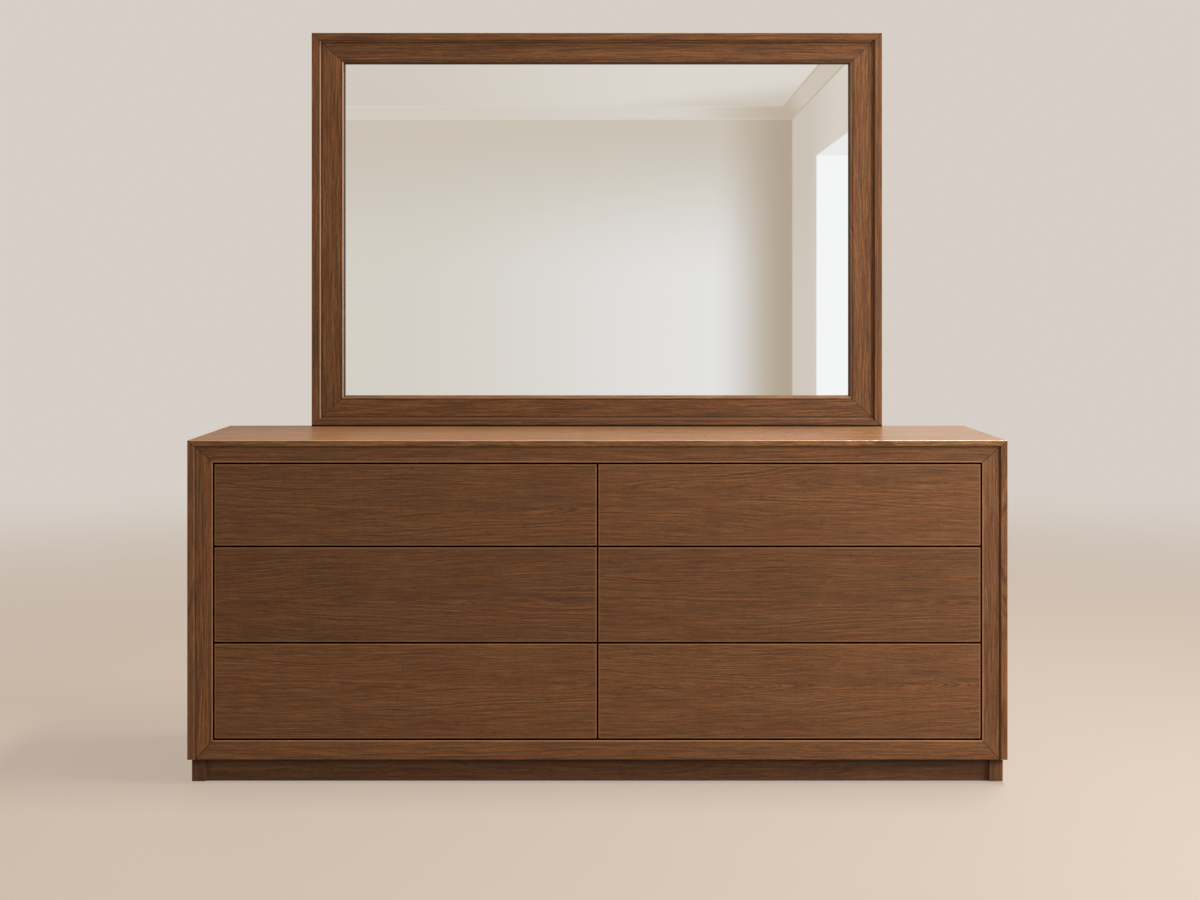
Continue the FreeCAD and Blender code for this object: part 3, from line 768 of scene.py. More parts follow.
@dataclass(frozen=True)
class SilveredGlass:
    """Polished glass silvered on its back, with the faintest wiping marks."""

    title: str = "silvered_glass"
    silver: Colour = (0.955, 0.965, 0.958)
    greened: Colour = (0.945, 0.958, 0.948)
    clouds: Noise = Noise((2.5, 2.5, 2.5))
    roughness: float = 0.012
    gloss_spread: float = 0.02
    gloss_scale: float = 7.0

    def material(self) -> Material:
        """Makes the material.

        Returns:
            The material.
        """
        sheet = MaterialSheet(self.title)
        sheet.fill(sheet.shader, {
            "Base Color": sheet.blend(sheet.noise(sheet.place, self.clouds), self.silver, self.greened),
            "Roughness": HandledSheen.place(sheet, {
                "Vector": sheet.place, "Roughness": self.roughness, "Spread": self.gloss_spread,
                "Scale": self.gloss_scale})["Roughness"],
        })
        sheet.shader.inputs["Metallic"].default_value = 1.0
        return sheet.material


WALNUT = WoodFinish(
    "walnut_veneer", dark=(0.062, 0.0222, 0.0064), middle=(0.113, 0.0420, 0.0115),
    light=(0.180, 0.0720, 0.0215), worn_and_lit=(0.30, 0.130, 0.048), wear_and_highlight=0.75, roughness=0.62, specular=0.18)
FRONT_WALNUT = replace(WALNUT, worn_and_lit=(0.29, 0.130, 0.046), wear_and_highlight_width=2.6 * MM, wear_and_highlight_breaks=0.7)
FRAME_WALNUT = replace(WALNUT, worn_and_lit=(0.36, 0.170, 0.068), wear_and_highlight=0.95, wear_and_highlight_width=2.8 * MM, wear_and_highlight_breaks=0.6)
POST_WALNUT = replace(FRAME_WALNUT, streaks=1.35)
# A lighter copy of the walnut for the top: painted light where the top catches the overhead light, and a
# painted highlight along its front arris.
LIT_TOP_WALNUT = replace(
    WALNUT, dark=(0.079, 0.0312, 0.0096), middle=(0.138, 0.0572, 0.0166), light=(0.210, 0.0940, 0.0300),
    streaks=1.6, worn_and_lit=(0.46, 0.26, 0.14), wear_and_highlight=0.95, wear_and_highlight_width=1.3 * MM, coat=0.20, polished_end=0.80,
    coat_roughness=0.24)
MOULDING_WALNUT = replace(WALNUT, streaks=1.3, wear_and_highlight=0.15)
# A darker copy of the walnut for the plinth: painted shade under the case's overhang.
SHADED_PLINTH_WALNUT = replace(
    WALNUT, dark=(0.045, 0.0160, 0.0046), middle=(0.082, 0.0305, 0.0085), light=(0.130, 0.053, 0.016),
    worn_and_lit=(0.24, 0.100, 0.040), wear_and_highlight=0.7)
BIRCH = WoodFinish(
    "drawer_birch", dark=(0.25, 0.160, 0.084), middle=(0.34, 0.240, 0.140), light=(0.42, 0.32, 0.205),
    worn_and_lit=(0.46, 0.36, 0.24), wear_and_highlight=0.4, streaks=0.8, pores=0.25, roughness=0.52, coat=0.08, specular=0.35)
CARCASE = WoodFinish(
    "carcase_wood", dark=(0.34, 0.21, 0.11), middle=(0.50, 0.34, 0.19), light=(0.62, 0.46, 0.29),
    worn_and_lit=(0.66, 0.50, 0.33), wear_and_highlight=0.4, streaks=0.8, pores=0.3, roughness=0.66, coat=0.0, specular=0.3)
FIBREBOARD = MottledFinish(
    "back_board", (0.26, 0.165, 0.095), (0.34, 0.225, 0.14), Noise((420.0,) * 3, 3.0, 0.7),
    Noise((9.0,) * 3, 3.0, 0.6), fine_part=0.65, edges=(0.4, 0.62), roughness=0.7, gloss_spread=0.15,
    gloss_scale=8.0, relief=0.2, relief_depth=0.2 * MM)
NYLON = replace(FIBREBOARD, title="glide_plastic", first=(0.025, 0.025, 0.026), second=(0.05, 0.05, 0.052),
                roughness=0.5)
SLIDE_STEEL = MottledFinish(
    "slide_steel", (0.42, 0.43, 0.45), (0.60, 0.61, 0.63), Noise((700.0, 6.0, 700.0), 3.0, 0.6),
    Noise((60.0,) * 3, 3.0, 0.6), fine_part=0.5, edges=(0.35, 0.65), roughness=0.34, gloss_spread=0.2,
    gloss_scale=30.0, relief=0.15, relief_depth=0.1 * MM, metallic=1.0)
FITTING_STEEL = replace(SLIDE_STEEL, title="fitting_steel", first=(0.38, 0.38, 0.37),
                        second=(0.56, 0.56, 0.55), fine=Noise((90.0,) * 3, 3.0, 0.6))
GLASS = SilveredGlass()


def dress(node: str, material: Material) -> None:
    """Gives a CAD node its material.

    Args:
        node: the node's name.
        material: the finish to show.
    """
    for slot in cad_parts[node].material_slots:
        slot.material = material
    LOG.info("dressed %s with %s", node, material.name)


# Meshes -------------------------------------------------------------------------------------------------

# A pan head's points around and rings across; its cross recess and its dome as shares of its size.
HEAD_POINTS, HEAD_RINGS = 40, 9
CROSS_WIDTH, CROSS_REACH, CROSS_DEPTH = 0.15, 0.62, 0.5
DOME_SPREAD, DOME_FALL = 0.88, 0.9
# A shank's pitch; its threaded part, root and tip, and where root and crest lie in a pitch, as shares.
THREAD_PITCH, THREADED, ROOT, TIP = 1.6 * MM, 0.9, 0.72, 0.12
ROOT_PLACE, CREST_PLACE = 0.35, 0.85
# A domed pin head's outline: shares of its height and of its radius.
DOME_OUTLINE = ((0.0, 1.0), (0.45, 1.0), (0.8, 0.85), (0.95, 0.6), (1.0, 0.3))
# A button plate's eased edge, and the points around each of its ends.
PLATE_EASE, PLATE_POINTS = 0.35 * MM, 13
BACK, FORWARD = Vector((0, 1, 0)), Vector((0, -1, 0))
# How near two corners of a surface are when they count as one.
WELD = 1e-6


def object_from(mesh: Mesh, name: str, material: Material) -> bpy.types.Object:
    """Turns a built mesh into an object of the scene.

    Args:
        mesh: the mesh, which is freed.
        name: the object's name.
        material: its material.

    Returns:
        The object.
    """
    data = bpy.data.meshes.new(name)
    mesh.to_mesh(data)
    mesh.free()
    data.materials.append(material)
    made = bpy.data.objects.new(name, data)
    bpy.context.scene.collection.objects.link(made)
    return made


def piece_from(mesh: Mesh, name: str, body: str, material: Material) -> bpy.types.Object:
    """Turns a built mesh into a piece that rides on a body.

    Args:
        mesh: the mesh, in the row frame, which is freed.
        name: the piece's name.
        body: the body that it rides on.
        material: the finish to show.

    Returns:
        The piece.
    """
    piece = object_from(mesh, name, material)
    for polygon in piece.data.polygons:
        polygon.use_smooth = True
    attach(piece, body)
    LOG.info("built %s on %s", name, body)
    return piece


def round_ring(centre: Vector, way: Vector, radius: float, points: int = 24) -> list[Vector]:
    """Gives the points of a ring around a direction.

    Args:
        centre: the ring's middle.
        way: the unit direction that it faces.
        radius: its radius.
        points: its number of points.

    Returns:
        The points.
    """
    turn = way.to_track_quat("Z", "Y").to_matrix()
    angles = (2 * math.pi * index / points for index in range(points))
    return [centre + turn @ Vector((math.cos(angle) * radius, math.sin(angle) * radius, 0.0))
            for angle in angles]


def add_screw_head(mesh: Mesh, seat: Vector, way: Vector, radius: float, height: float) -> None:
    """Adds a pan head with a cross recess.

    Args:
        mesh: the mesh to add to.
        seat: the middle of the face that the head bears on.
        way: the unit direction that the head faces.
        radius: the head's radius.
        height: its height.
    """
    arm, reach, depth = radius * CROSS_WIDTH, radius * CROSS_REACH, height * CROSS_DEPTH
    turn = way.to_track_quat("Z", "Y").to_matrix()
    rings = []
    for step in range(1, HEAD_RINGS + 1):
        share = step / HEAD_RINGS
        crown = height * math.sqrt(1 - (share * DOME_SPREAD) ** 2 * DOME_FALL)
        ring = []
        for index in range(HEAD_POINTS):
            angle = 2 * math.pi * index / HEAD_POINTS
            x, y = math.cos(angle) * share * radius, math.sin(angle) * share * radius
            inside = min(abs(x), abs(y)) < arm and max(abs(x), abs(y)) < reach
            ring.append(mesh.verts.new(seat + turn @ Vector((x, y, crown - depth if inside else crown))))
        rings.append(ring)
    skirt = [mesh.verts.new(point) for point in round_ring(seat, way, radius, HEAD_POINTS)]
    rings.append(skirt)
    middle = mesh.verts.new(seat + turn @ Vector((0.0, 0.0, height - depth)))
    base = mesh.verts.new(seat)
    for index in range(HEAD_POINTS):
        after = (index + 1) % HEAD_POINTS
        mesh.faces.new((middle, rings[0][index], rings[0][after]))
        mesh.faces.new((base, skirt[after], skirt[index]))
        for inner, outer in zip(rings, rings[1:]):
            mesh.faces.new((inner[index], outer[index], outer[after], inner[after]))


def add_rings(mesh: Mesh, rings: Sequence[Sequence[Vector]]) -> None:
    """Adds a closed skin over rings of points, with a flat face at each end.

    Args:
        mesh: the mesh to add to.
        rings: rings of the same number of points, each turning the same way, from the base to the tip.
    """
    loops = [[mesh.verts.new(point) for point in ring] for ring in rings]
    count = len(loops[0])
    mesh.faces.new(tuple(reversed(loops[0])))
    for lower, upper in zip(loops, loops[1:]):
        for index in range(count):
            after = (index + 1) % count
            mesh.faces.new((lower[index], lower[after], upper[after], upper[index]))
    mesh.faces.new(tuple(loops[-1]))


def add_shank(mesh: Mesh, seat: Vector, way: Vector, radius: float, length: float) -> None:
    """Adds a screw's shank with shallow threads and a point.

    Args:
        mesh: the mesh to add to.
        seat: where the shank leaves the head.
        way: the unit direction that it runs in.
        radius: its radius over the threads.
        length: its length.
    """
    threads = max(2, int(length / THREAD_PITCH))
    pitch = length * THREADED / threads
    rings = [round_ring(seat, way, radius)]
    for thread in range(threads):
        rings.append(round_ring(seat + way * pitch * (thread + ROOT_PLACE), way, radius * ROOT))
        rings.append(round_ring(seat + way * pitch * (thread + CREST_PLACE), way, radius))
    rings.append(round_ring(seat + way * length, way, radius * TIP))
    add_rings(mesh, rings)


def add_pin_head(mesh: Mesh, seat: Vector, radius: float, height: float) -> None:
    """Adds a low domed head that faces the back, on the face that its seat lies on."""
    add_rings(mesh, [round_ring(seat + BACK * height * rise, BACK, radius * width)
                     for rise, width in DOME_OUTLINE])


def add_button_plate(mesh: Mesh, seat: Vector, size: Triple, upright: bool) -> None:
    """Adds a flat plate with round ends and eased edges, lying on the back.

    Args:
        mesh: the mesh to add to.
        seat: the middle of the face that it lies on.
        size: its width, length and thickness.
        upright: whether its length is vertical.
    """
    width, length, thickness = size
    reach = length / 2 - width / 2
    rings = []
    for rise, inset in ((0.0, 0.0), (thickness - PLATE_EASE, 0.0), (thickness, PLATE_EASE)):
        radius = width / 2 - inset
        ring = []
        for end in (1, -1):
            for index in range(PLATE_POINTS):
                angle = math.pi * index / (PLATE_POINTS - 1) - end * math.pi / 2
                along, across = end * reach + radius * math.cos(angle), radius * math.sin(angle)
                x, z = (-across, along) if upright else (along, across)
                ring.append(seat + Vector((x, rise, z)))
        rings.append(list(reversed(ring)))
    add_rings(mesh, rings)


# Sub-assemblies -----------------------------------------------------------------------------------------

@dataclass
class Case:
    """The mitred shell of the dresser, its hidden boards and its plinth."""

    half_width: float = 0.900
    top: float = 0.755
    base: float = 0.054
    side_rim: float = 17.5 * MM
    top_rim: float = 15.0 * MM
    stile: float = 37.5 * MM
    top_rail: float = 33.5 * MM
    bottom_rail: float = 42.0 * MM
    face_front: float = -0.235
    inner_front: float = -0.210
    joint: float = 0.6 * MM
    joint_shade: float = 0.6
    side_bevel: float = 1.8 * MM
    top_bevel: float = 4.2 * MM
    top_bevel_soft: float = 1.6 * MM
    top_bevel_shade: float = 0.26
    rim_shadow: float = 3.0 * MM
    rim_shadow_soft: float = 6.0 * MM
    rim_shadow_shade: float = 0.30
    # Where the painted shade on the gap sides starts behind the face, where it stops short of the back, and
    # how softly.
    gap_shade_inset: float = 1.2 * MM
    gap_shade_end: float = 0.6 * MM
    gap_shade_soft: float = 0.8 * MM
    plinth_shadow: float = 13.0 * MM
    plinth_shadow_soft: float = 12.0 * MM
    plinth_shade: float = 0.6
    gap_shade_band: float = 1.5 * MM
    pin_radius: float = 2.3 * MM
    pin_height: float = 0.5 * MM
    pin_side: float = 0.004
    pin_corner: float = 0.030
    pin_foot: float = 0.010
    pin_columns: int = 12
    pin_rows: int = 6

    def build(self) -> None:
        """Dresses every board of the case."""
        self._shell()
        self._face_frame()
        self._plinth()
        self._hidden()
        self._back_pins()

    def _shell(self) -> None:
        """Dresses the top and the sides."""
        mitre = Mitre(self.half_width, self.top, self.side_rim / self.top_rim)
        # Painted shade on the rim's downward bevel, over the dark joint under it.
        foot = Tint(Way.DOWN, -self.top + self.top_rim - self.top_bevel, JOINT_AND_SHADE_DARK, self.top_bevel_shade,
                    soft=self.top_bevel_soft)
        figure = Figure((0.25, -0.05, self.top), taper=0.03, depth=0.035)
        LIT_TOP_WALNUT.dress("top_panel", Grain.TOP, figure, (mitre,), (foot,))
        for side, sign, inward in (("left", -1, Way.RIGHT), ("right", 1, Way.LEFT)):
            figure = Figure((sign * self.half_width, 0.03 * sign, 0.35), taper=0.04 * sign, depth=0.025)
            bevel_foot = -self.half_width + self.side_rim - self.side_bevel
            foot = Tint(inward, bevel_foot, JOINT_AND_SHADE_DARK, self.joint_shade)
            WALNUT.dress(f"side_panel_{side}", Grain.SIDE, figure, (mitre,), (foot,))

    def _face_frame(self) -> None:
        """Dresses the four members of the face frame."""
        outer = self.half_width - self.side_rim
        rim = self.top - self.top_rim
        upper = Mitre(outer, rim, self.stile / self.top_rail)
        lower = Mitre(outer, self.base, -self.stile / self.bottom_rail)
        # Painted shadow on the top rail, under the rim.
        under_rim = Tint(Way.UP, rim - self.rim_shadow, JOINT_AND_SHADE_DARK, self.rim_shadow_shade,
                         soft=self.rim_shadow_soft)
        beside_left, beside_right = (Tint(way, outer - self.joint, JOINT_AND_SHADE_DARK, self.joint_shade)
                                     for way in (Way.LEFT, Way.RIGHT))
        for node, grain, middle, tone, mitres, joint, spared in (
                ("face_rail_top", Grain.FRONT, (0.4, -0.1, 0.95), 0.95, (upper,), (under_rim,),
                 (Way.LEFT, Way.RIGHT, Way.UP)),
                ("face_rail_bottom", Grain.FRONT, (-0.3, -0.1, 0.30), 1.0, (lower,), (),
                 (Way.LEFT, Way.RIGHT, Way.DOWN)),
                ("face_stile_left", Grain.UPRIGHT, (-0.60, -0.1, 0.5), 1.08, (upper, lower), (beside_left,),
                 (Way.LEFT, Way.UP, Way.DOWN)),
                ("face_stile_right", Grain.UPRIGHT, (0.62, -0.1, 0.2), 0.98, (upper, lower), (beside_right,),
                 (Way.RIGHT, Way.UP, Way.DOWN))):
            figure = Figure(middle, taper=0.02, contrast=0.30, tone=tone)
            finish = POST_WALNUT if grain is Grain.UPRIGHT else FRAME_WALNUT
            finish.dress(node, grain, figure, mitres, (*joint, self.gap_shade()), spared)

    def gap_shade(self) -> Tint:
        """Gives the dark edge stain on the sides of the gaps, which paints the shade in them."""
        return Tint(Way.BACK, self.face_front + self.gap_shade_inset, EDGE_STAIN_AND_GAP_SHADE,
                    end=self.inner_front - self.gap_shade_end, soft=self.gap_shade_soft)

    def _plinth(self) -> None:
        """Dresses the feet, the plinth boards and the glides."""
        figure = Figure((0.13, 0.21, 0.19), taper=0.02, contrast=0.22)
        # Painted shadow on the top of the plinth, under the case's overhang.
        shade = Tint(Way.UP, self.base - self.plinth_shadow, JOINT_AND_SHADE_DARK, self.plinth_shade,
                     soft=self.plinth_shadow_soft)
        for node, grain in (("plinth_corner_feet", Grain.UPRIGHT), ("plinth_front_board", Grain.FRONT),
                            ("plinth_rear_board", Grain.FRONT), ("plinth_end_boards", Grain.DEEP)):
            SHADED_PLINTH_WALNUT.dress(node, grain, figure, tints=(shade,))
        dress("floor_glides", NYLON.material())

    def _hidden(self) -> None:
        """Dresses the boards inside and behind the case, with painted near-black shade on their front edges
        where they show in the gaps.
        """
        figure = Figure((0.05, 0.02, 0.03), depth=0.04)
        # Painted shade: the front edges seen through the gaps are near black.
        gap_shade_band = Tint(Way.FRONT, -self.inner_front - self.gap_shade_band, SHADOW_BLACK)
        for node, grain in (("bottom_panel", Grain.TOP), ("centre_partition", Grain.SIDE),
                            ("rear_rails", Grain.FRONT), ("slide_packers", Grain.DEEP),
                            ("centre_support_foot", Grain.UPRIGHT)):
            CARCASE.dress(node, grain, figure, tints=(gap_shade_band,))
        dress("back_panel", FIBREBOARD.material())

    def _back_pins(self) -> None:
        """Adds the flat pin heads that hold the back panel to its housings and rails."""
        low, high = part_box("back_panel")
        columns = [low.x + self.pin_corner + (high.x - low.x - 2 * self.pin_corner) * index / self.pin_columns
                   for index in range(self.pin_columns + 1)]
        rows = [low.z + (high.z - low.z) * index / self.pin_rows for index in range(1, self.pin_rows)]
        places = [(x, z) for x in columns for z in (low.z + self.pin_foot, high.z - self.pin_side)]
        places += [(x, z) for z in rows for x in (low.x + self.pin_side, 0.0, high.x - self.pin_side)]
        mesh = bmesh.new()
        for x, z in places:
            add_pin_head(mesh, Vector((x, high.y, z)), self.pin_radius, self.pin_height)
        piece_from(mesh, "back_panel_pins", "case", FITTING_STEEL.material())


@dataclass
class Drawer:
    """One drawer with its front, box, floor and slides."""

    row: str
    side: str
    figure: Figure
    screw_radius: float = 3.4 * MM
    screw_height: float = 1.5 * MM
    runner_screws: int = 4
    runner_web: float = 1.4 * MM
    front_shares: tuple[float, ...] = (0.08, 0.36, 0.64, 0.92)
    front_rise: float = 0.038
    front_drop: float = 0.030
    box_wall: float = 15.0 * MM

    @property
    def body(self) -> str:
        """The name of the drawer's body."""
        return f"{self.row}_{self.side}_drawer"

    def build(self, steel: Material) -> None:
        """Dresses the drawer's nodes and adds its screws.

        Args:
            steel: the material of the slides.
        """
        FRONT_WALNUT.dress(f"{self.body}_front", Grain.FRONT, self.figure, tints=(Case().gap_shade(),))
        box_figure = Figure((self.figure.middle[0], 0.0, self.figure.middle[2]), depth=0.05, contrast=0.18)
        for part, grain in (("box", Grain.DEEP), ("floor", Grain.TOP)):
            BIRCH.dress(f"{self.body}_{part}", grain, box_figure)
        for part in ("runners", "slide_carriers"):
            dress(f"{self.body}_{part}", steel)
        self._screws("runner_screws", self._runner_seats(), steel)
        self._screws("front_screws", self._front_seats(), steel)

    def _front_seats(self) -> list[tuple[Triple, Triple]]:
        """Finds the seats and directions of the screws that hold the front, inside the drawer.

        Returns:
            Each screw's seat and the direction that its head faces.
        """
        low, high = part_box(f"{self.body}_box")
        levels = low.z + self.front_rise, high.z - self.front_drop
        return [((low.x + (high.x - low.x) * share, low.y + self.box_wall, level), Way.BACK.value)
                for share in self.front_shares for level in levels]

    def _runner_seats(self) -> list[tuple[Triple, Triple]]:
        """Finds the seats and directions of the screws that hold the two runners to the box sides.

        Returns:
            Each screw's seat and the direction that its head faces.
        """
        low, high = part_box(f"{self.body}_runners")
        box_low, box_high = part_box(f"{self.body}_box")
        sides = ((box_low.x - self.runner_web, Way.LEFT), (box_high.x + self.runner_web, Way.RIGHT))
        level = (low.z + high.z) / 2
        places = [low.y + (high.y - low.y) * (index + 0.5) / self.runner_screws
                  for index in range(self.runner_screws)]
        return [((x, y, level), way.value) for y in places for x, way in sides]

    def _screws(self, part: str, seats: Iterable[tuple[Triple, Triple]], steel: Material) -> None:
        """Builds one set of the drawer's screws.

        Args:
            part: the set's name.
            seats: each screw's seat and the direction that its head faces.
            steel: their material.
        """
        mesh = bmesh.new()
        for seat, way in seats:
            add_screw_head(mesh, Vector(seat), Vector(way), self.screw_radius, self.screw_height)
        piece_from(mesh, f"{self.body}_{part}", self.body, steel)


@dataclass
class Mirror:
    """The framed mirror and what holds it up."""

    half_width: float = 0.695
    base: float = 0.755
    height: float = 0.959
    stile: float = 80.5 * MM
    rail: float = 75.0 * MM
    rim: float = 16.5 * MM
    cove: float = 5.5 * MM
    quirk: float = 1.6 * MM
    ovolo: float = 8.5 * MM
    soft: float = 0.5 * MM
    quirk_spread: float = 0.8 * MM
    inner_quirk_shade: float = 0.5
    cove_arris: Pair = (2.6 * MM, 0.4 * MM)
    ovolo_arris: Pair = (6.4 * MM, 3.8 * MM)
    cove_lead: float = 1.0 * MM
    cove_tail: float = 1.5 * MM
    foot_shadow: float = 4.2 * MM
    rail_tone: float = 0.93
    # The colour of the painted highlights on the moulding.
    glint: Colour = (0.40, 0.245, 0.152)

    def build(self) -> None:
        """Dresses the frame, the glass and the backing."""
        slope = self.stile / self.rail
        upper = Mitre(self.half_width, self.base + self.height, slope)
        lower = Mitre(self.half_width, self.base, -slope)
        # Painted contact shadow along the foot of each member, where the frame stands on the top.
        foot = Tint(Way.DOWN, -self.base - self.foot_shadow, SHADOW_BLACK)
        side = -self.half_width + self.stile
        top = -self.base - self.height + self.rail
        bottom = self.base + self.rail
        for node, grain, middle, mitres, tints in (
                ("mirror_rail_top", Grain.FRONT, (-0.2, 0.0, 1.95), (upper,), (
                    *self.shading(Way.DOWN, top, self.rail, 0.4),
                    self.recess(Way.DOWN, top, 0.55, 4.6 * MM))),
                ("mirror_rail_bottom", Grain.FRONT, (0.3, 0.0, 1.05), (lower,), (
                    *self.shading(Way.UP, bottom, self.rail, 0.15, ovolo=0.2),
                    self.cove_shade(Way.UP, self.base, 0.75), foot)),
                ("mirror_stile_left", Grain.UPRIGHT, (-0.45, 0.0, 1.3), (upper, lower), (
                    self.cove_shade(Way.RIGHT, -self.half_width, 0.6),
                    *self.shading(Way.RIGHT, side, self.stile, 0.5, cove=0.5, ovolo=0.75),
                    self.recess(Way.RIGHT, side, 0.8, 3.4 * MM), foot)),
                ("mirror_stile_right", Grain.UPRIGHT, (0.45, 0.0, 1.0), (upper, lower), (
                    *self.shading(Way.LEFT, side, self.stile, 0.1, ovolo=0.15),
                    self.recess(Way.LEFT, side, 0.6, 1.6 * MM), foot))):
            tone = self.rail_tone if grain is Grain.FRONT else 1.0
            figure = Figure(middle, taper=0.02, contrast=0.28, tone=tone)
            MOULDING_WALNUT.dress(node, grain, figure, mitres, tints)
        dress("mirror_glass", GLASS.material())
        dress("mirror_backing_board", FIBREBOARD.material())
        CARCASE.dress("mirror_posts", Grain.UPRIGHT, Figure((0.6, 0.1, 0.8)))

    def shading(self, way: Way, sight: float, width: float, quirks: float, cove: float = 0.0,
                ovolo: float = 0.0) -> tuple[Tint, ...]:
        """Gives the painted highlights on the arrises and the painted shade in the quirks of one member's
        moulding.

        Args:
            way: the direction towards the glass.
            sight: the place of the sight edge along it.
            width: the member's width.
            quirks: how dark the painted shade in the outer quirk is.
            cove: how bright the painted highlight on the arris over the cove is.
            ovolo: how bright the painted highlight on the ovolo is.

        Returns:
            The tints.
        """
        outer = sight - width + self.rim + self.cove
        inner = sight - self.ovolo - self.quirk
        outer_end = outer + self.quirk + self.quirk_spread
        tints = [Tint(way, outer, JOINT_AND_SHADE_DARK, quirks, outer_end, self.soft),
                 Tint(way, inner, JOINT_AND_SHADE_DARK, self.inner_quirk_shade, inner + self.quirk, self.soft)]
        # Painted highlights on the cove's arris and on the ovolo.
        shine = ((cove, outer, self.cove_arris), (ovolo, sight, self.ovolo_arris))
        for strength, edge, (start, end) in shine:
            if strength:
                tints.append(Tint(way, edge - start, self.glint, strength, edge - end, self.soft))
        return tuple(tints)

    def cove_shade(self, way: Way, outer: float, strength: float) -> Tint:
        """Gives the painted shade over a cove, from the member's outer edge along the way."""
        start = outer + self.rim - self.cove_lead
        return Tint(way, start, WALNUT.dark, strength, start + self.cove + self.cove_tail, 2 * self.soft)

    @staticmethod
    def recess(way: Way, sight: float, strength: float, reach: float) -> Tint:
        """Gives the painted shade on the deep edge beside the glass, as wide as its reach."""
        return Tint(way, sight - reach, JOINT_AND_SHADE_DARK, strength)


@dataclass
class BackFittings:
    """The small steel parts on the back: post and bracket screws, turn buttons and strap brackets."""

    back: float = 0.221
    post_x: float = 0.65475
    post_seat: float = 0.235
    rail_levels: tuple[float, ...] = (0.350, 0.400, 0.663, 0.713)
    frame_levels: tuple[float, ...] = (0.885, 1.140, 1.395)
    bracket: Pair = (0.380, 0.674)
    bracket_seat: float = 0.223
    head_radius: float = 4.5 * MM
    head_height: float = 3.0 * MM
    shank_radius: float = 2.0 * MM
    rail_tip: float = 0.201
    frame_tip: float = 0.207
    seam_x: float = 0.62309
    seam_step: float = 0.4
    seam_levels: Pair = (0.822, 1.647)
    buttons_across: int = 4
    buttons_down: int = 3
    button_x: float = 0.61425
    button_size: Triple = (12.0 * MM, 34.0 * MM, 1.6 * MM)
    button_head_radius: float = 4.0 * MM
    button_head_height: float = 1.8 * MM

    def build(self, steel: Material) -> None:
        """Dresses the brackets and builds the screws and the buttons.

        Args:
            steel: their material.
        """
        dress("wall_strap_brackets", steel)
        self._screws(steel)
        self._buttons(steel)

    def _screws(self, steel: Material) -> None:
        """Builds the cross-headed screws of the posts and the brackets.

        Args:
            steel: their material.
        """
        places = [(self.post_x, z, self.post_seat, self.rail_tip) for z in self.rail_levels]
        places += [(self.post_x, z, self.post_seat, self.frame_tip) for z in self.frame_levels]
        places.append((*self.bracket, self.bracket_seat, self.rail_tip))
        mesh = bmesh.new()
        for x, z, seat, tip in places:
            for side in (-1, 1):
                point = Vector((side * x, seat, z))
                add_screw_head(mesh, point, BACK, self.head_radius, self.head_height)
                add_shank(mesh, point, FORWARD, self.shank_radius, seat - tip)
        screws = piece_from(mesh, "post_screws", "case", steel)
        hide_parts("back_screws")

    def _buttons(self, steel: Material) -> None:
        """Builds the turn buttons that hold the backing in the mirror frame.

        Args:
            steel: their material.
        """
        low, high = self.seam_levels
        places = [(self.seam_x * (self.seam_step * step - 1), z, True)
                  for step in range(1, self.buttons_across + 1) for z in (low, high)]
        places += [(side * self.button_x, low + (high - low) * step / (self.buttons_down + 1), False)
                   for step in range(1, self.buttons_down + 1) for side in (-1, 1)]
        mesh = bmesh.new()
        for x, z, upright in places:
            seat = Vector((x, self.back, z))
            add_button_plate(mesh, seat, self.button_size, upright)
            add_screw_head(mesh, seat + BACK * self.button_size[2], BACK, self.button_head_radius,
                           self.button_head_height)
        buttons = piece_from(mesh, "backing_turn_buttons", "case", steel)
        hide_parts("mirror_turn_buttons")


# Studio -------------------------------------------------------------------------------------------------

@dataclass(frozen=True)
class SoftLamp:
    """A square or oblong soft lamp that points at a target."""

    title: str
    place: Triple
    target: Triple
    size: Pair
    power: float
    colour: Colour = (1.0, 1.0, 1.0)

    def hang(self) -> None:
        """Puts the lamp in the scene."""
        data = bpy.data.lights.new(self.title, "AREA")
        data.shape = "RECTANGLE"
        data.size, data.size_y = self.size
        data.energy = self.power
        data.color = self.colour
        lamp = bpy.data.objects.new(self.title, data)
        lamp.location = self.place
        aim = Vector(self.target) - Vector(self.place)
        lamp.rotation_euler = aim.to_track_quat("-Z", "Y").to_euler()
        lamp.visible_camera = False
        bpy.context.scene.collection.objects.link(lamp)
        LOG.info("hung %s", self.title)


@dataclass(frozen=True)
class Wash:
    """A second colour of a glowing surface, which comes in along a direction; the washes paint light and
    shade.
    """

    colour: Colour
    direction: Triple
    start: float
    end: float


@dataclass(frozen=True)
class PaintedWall:
    """A glowing paint that is seen in reflections only; its colour and washes are painted light and shade,
    with slow changes of light over it.
    """

    colour: Colour
    washes: tuple[Wash, ...] = ()
    clouds: Noise = Noise((0.7, 0.7, 0.7), swing=0.03)

    def material(self, title: str) -> Material:
        """Makes the material.

        Args:
            title: its name.

        Returns:
            The material.
        """
        sheet = MaterialSheet(title)
        colour = sheet.scale(self.colour, sheet.add(sheet.drift(sheet.place, self.clouds), 1.0))
        for wash in self.washes:
            distance = sheet.reach(sheet.place, wash.direction)
            colour = sheet.blend(sheet.step(distance, wash.start, wash.end), colour, wash.colour)
        glow = sheet.node("Emission", {"Color": colour, "Strength": 1.0})
        sheet.tree.links.new(glow.outputs[0], sheet.output.inputs["Surface"])
        return sheet.material


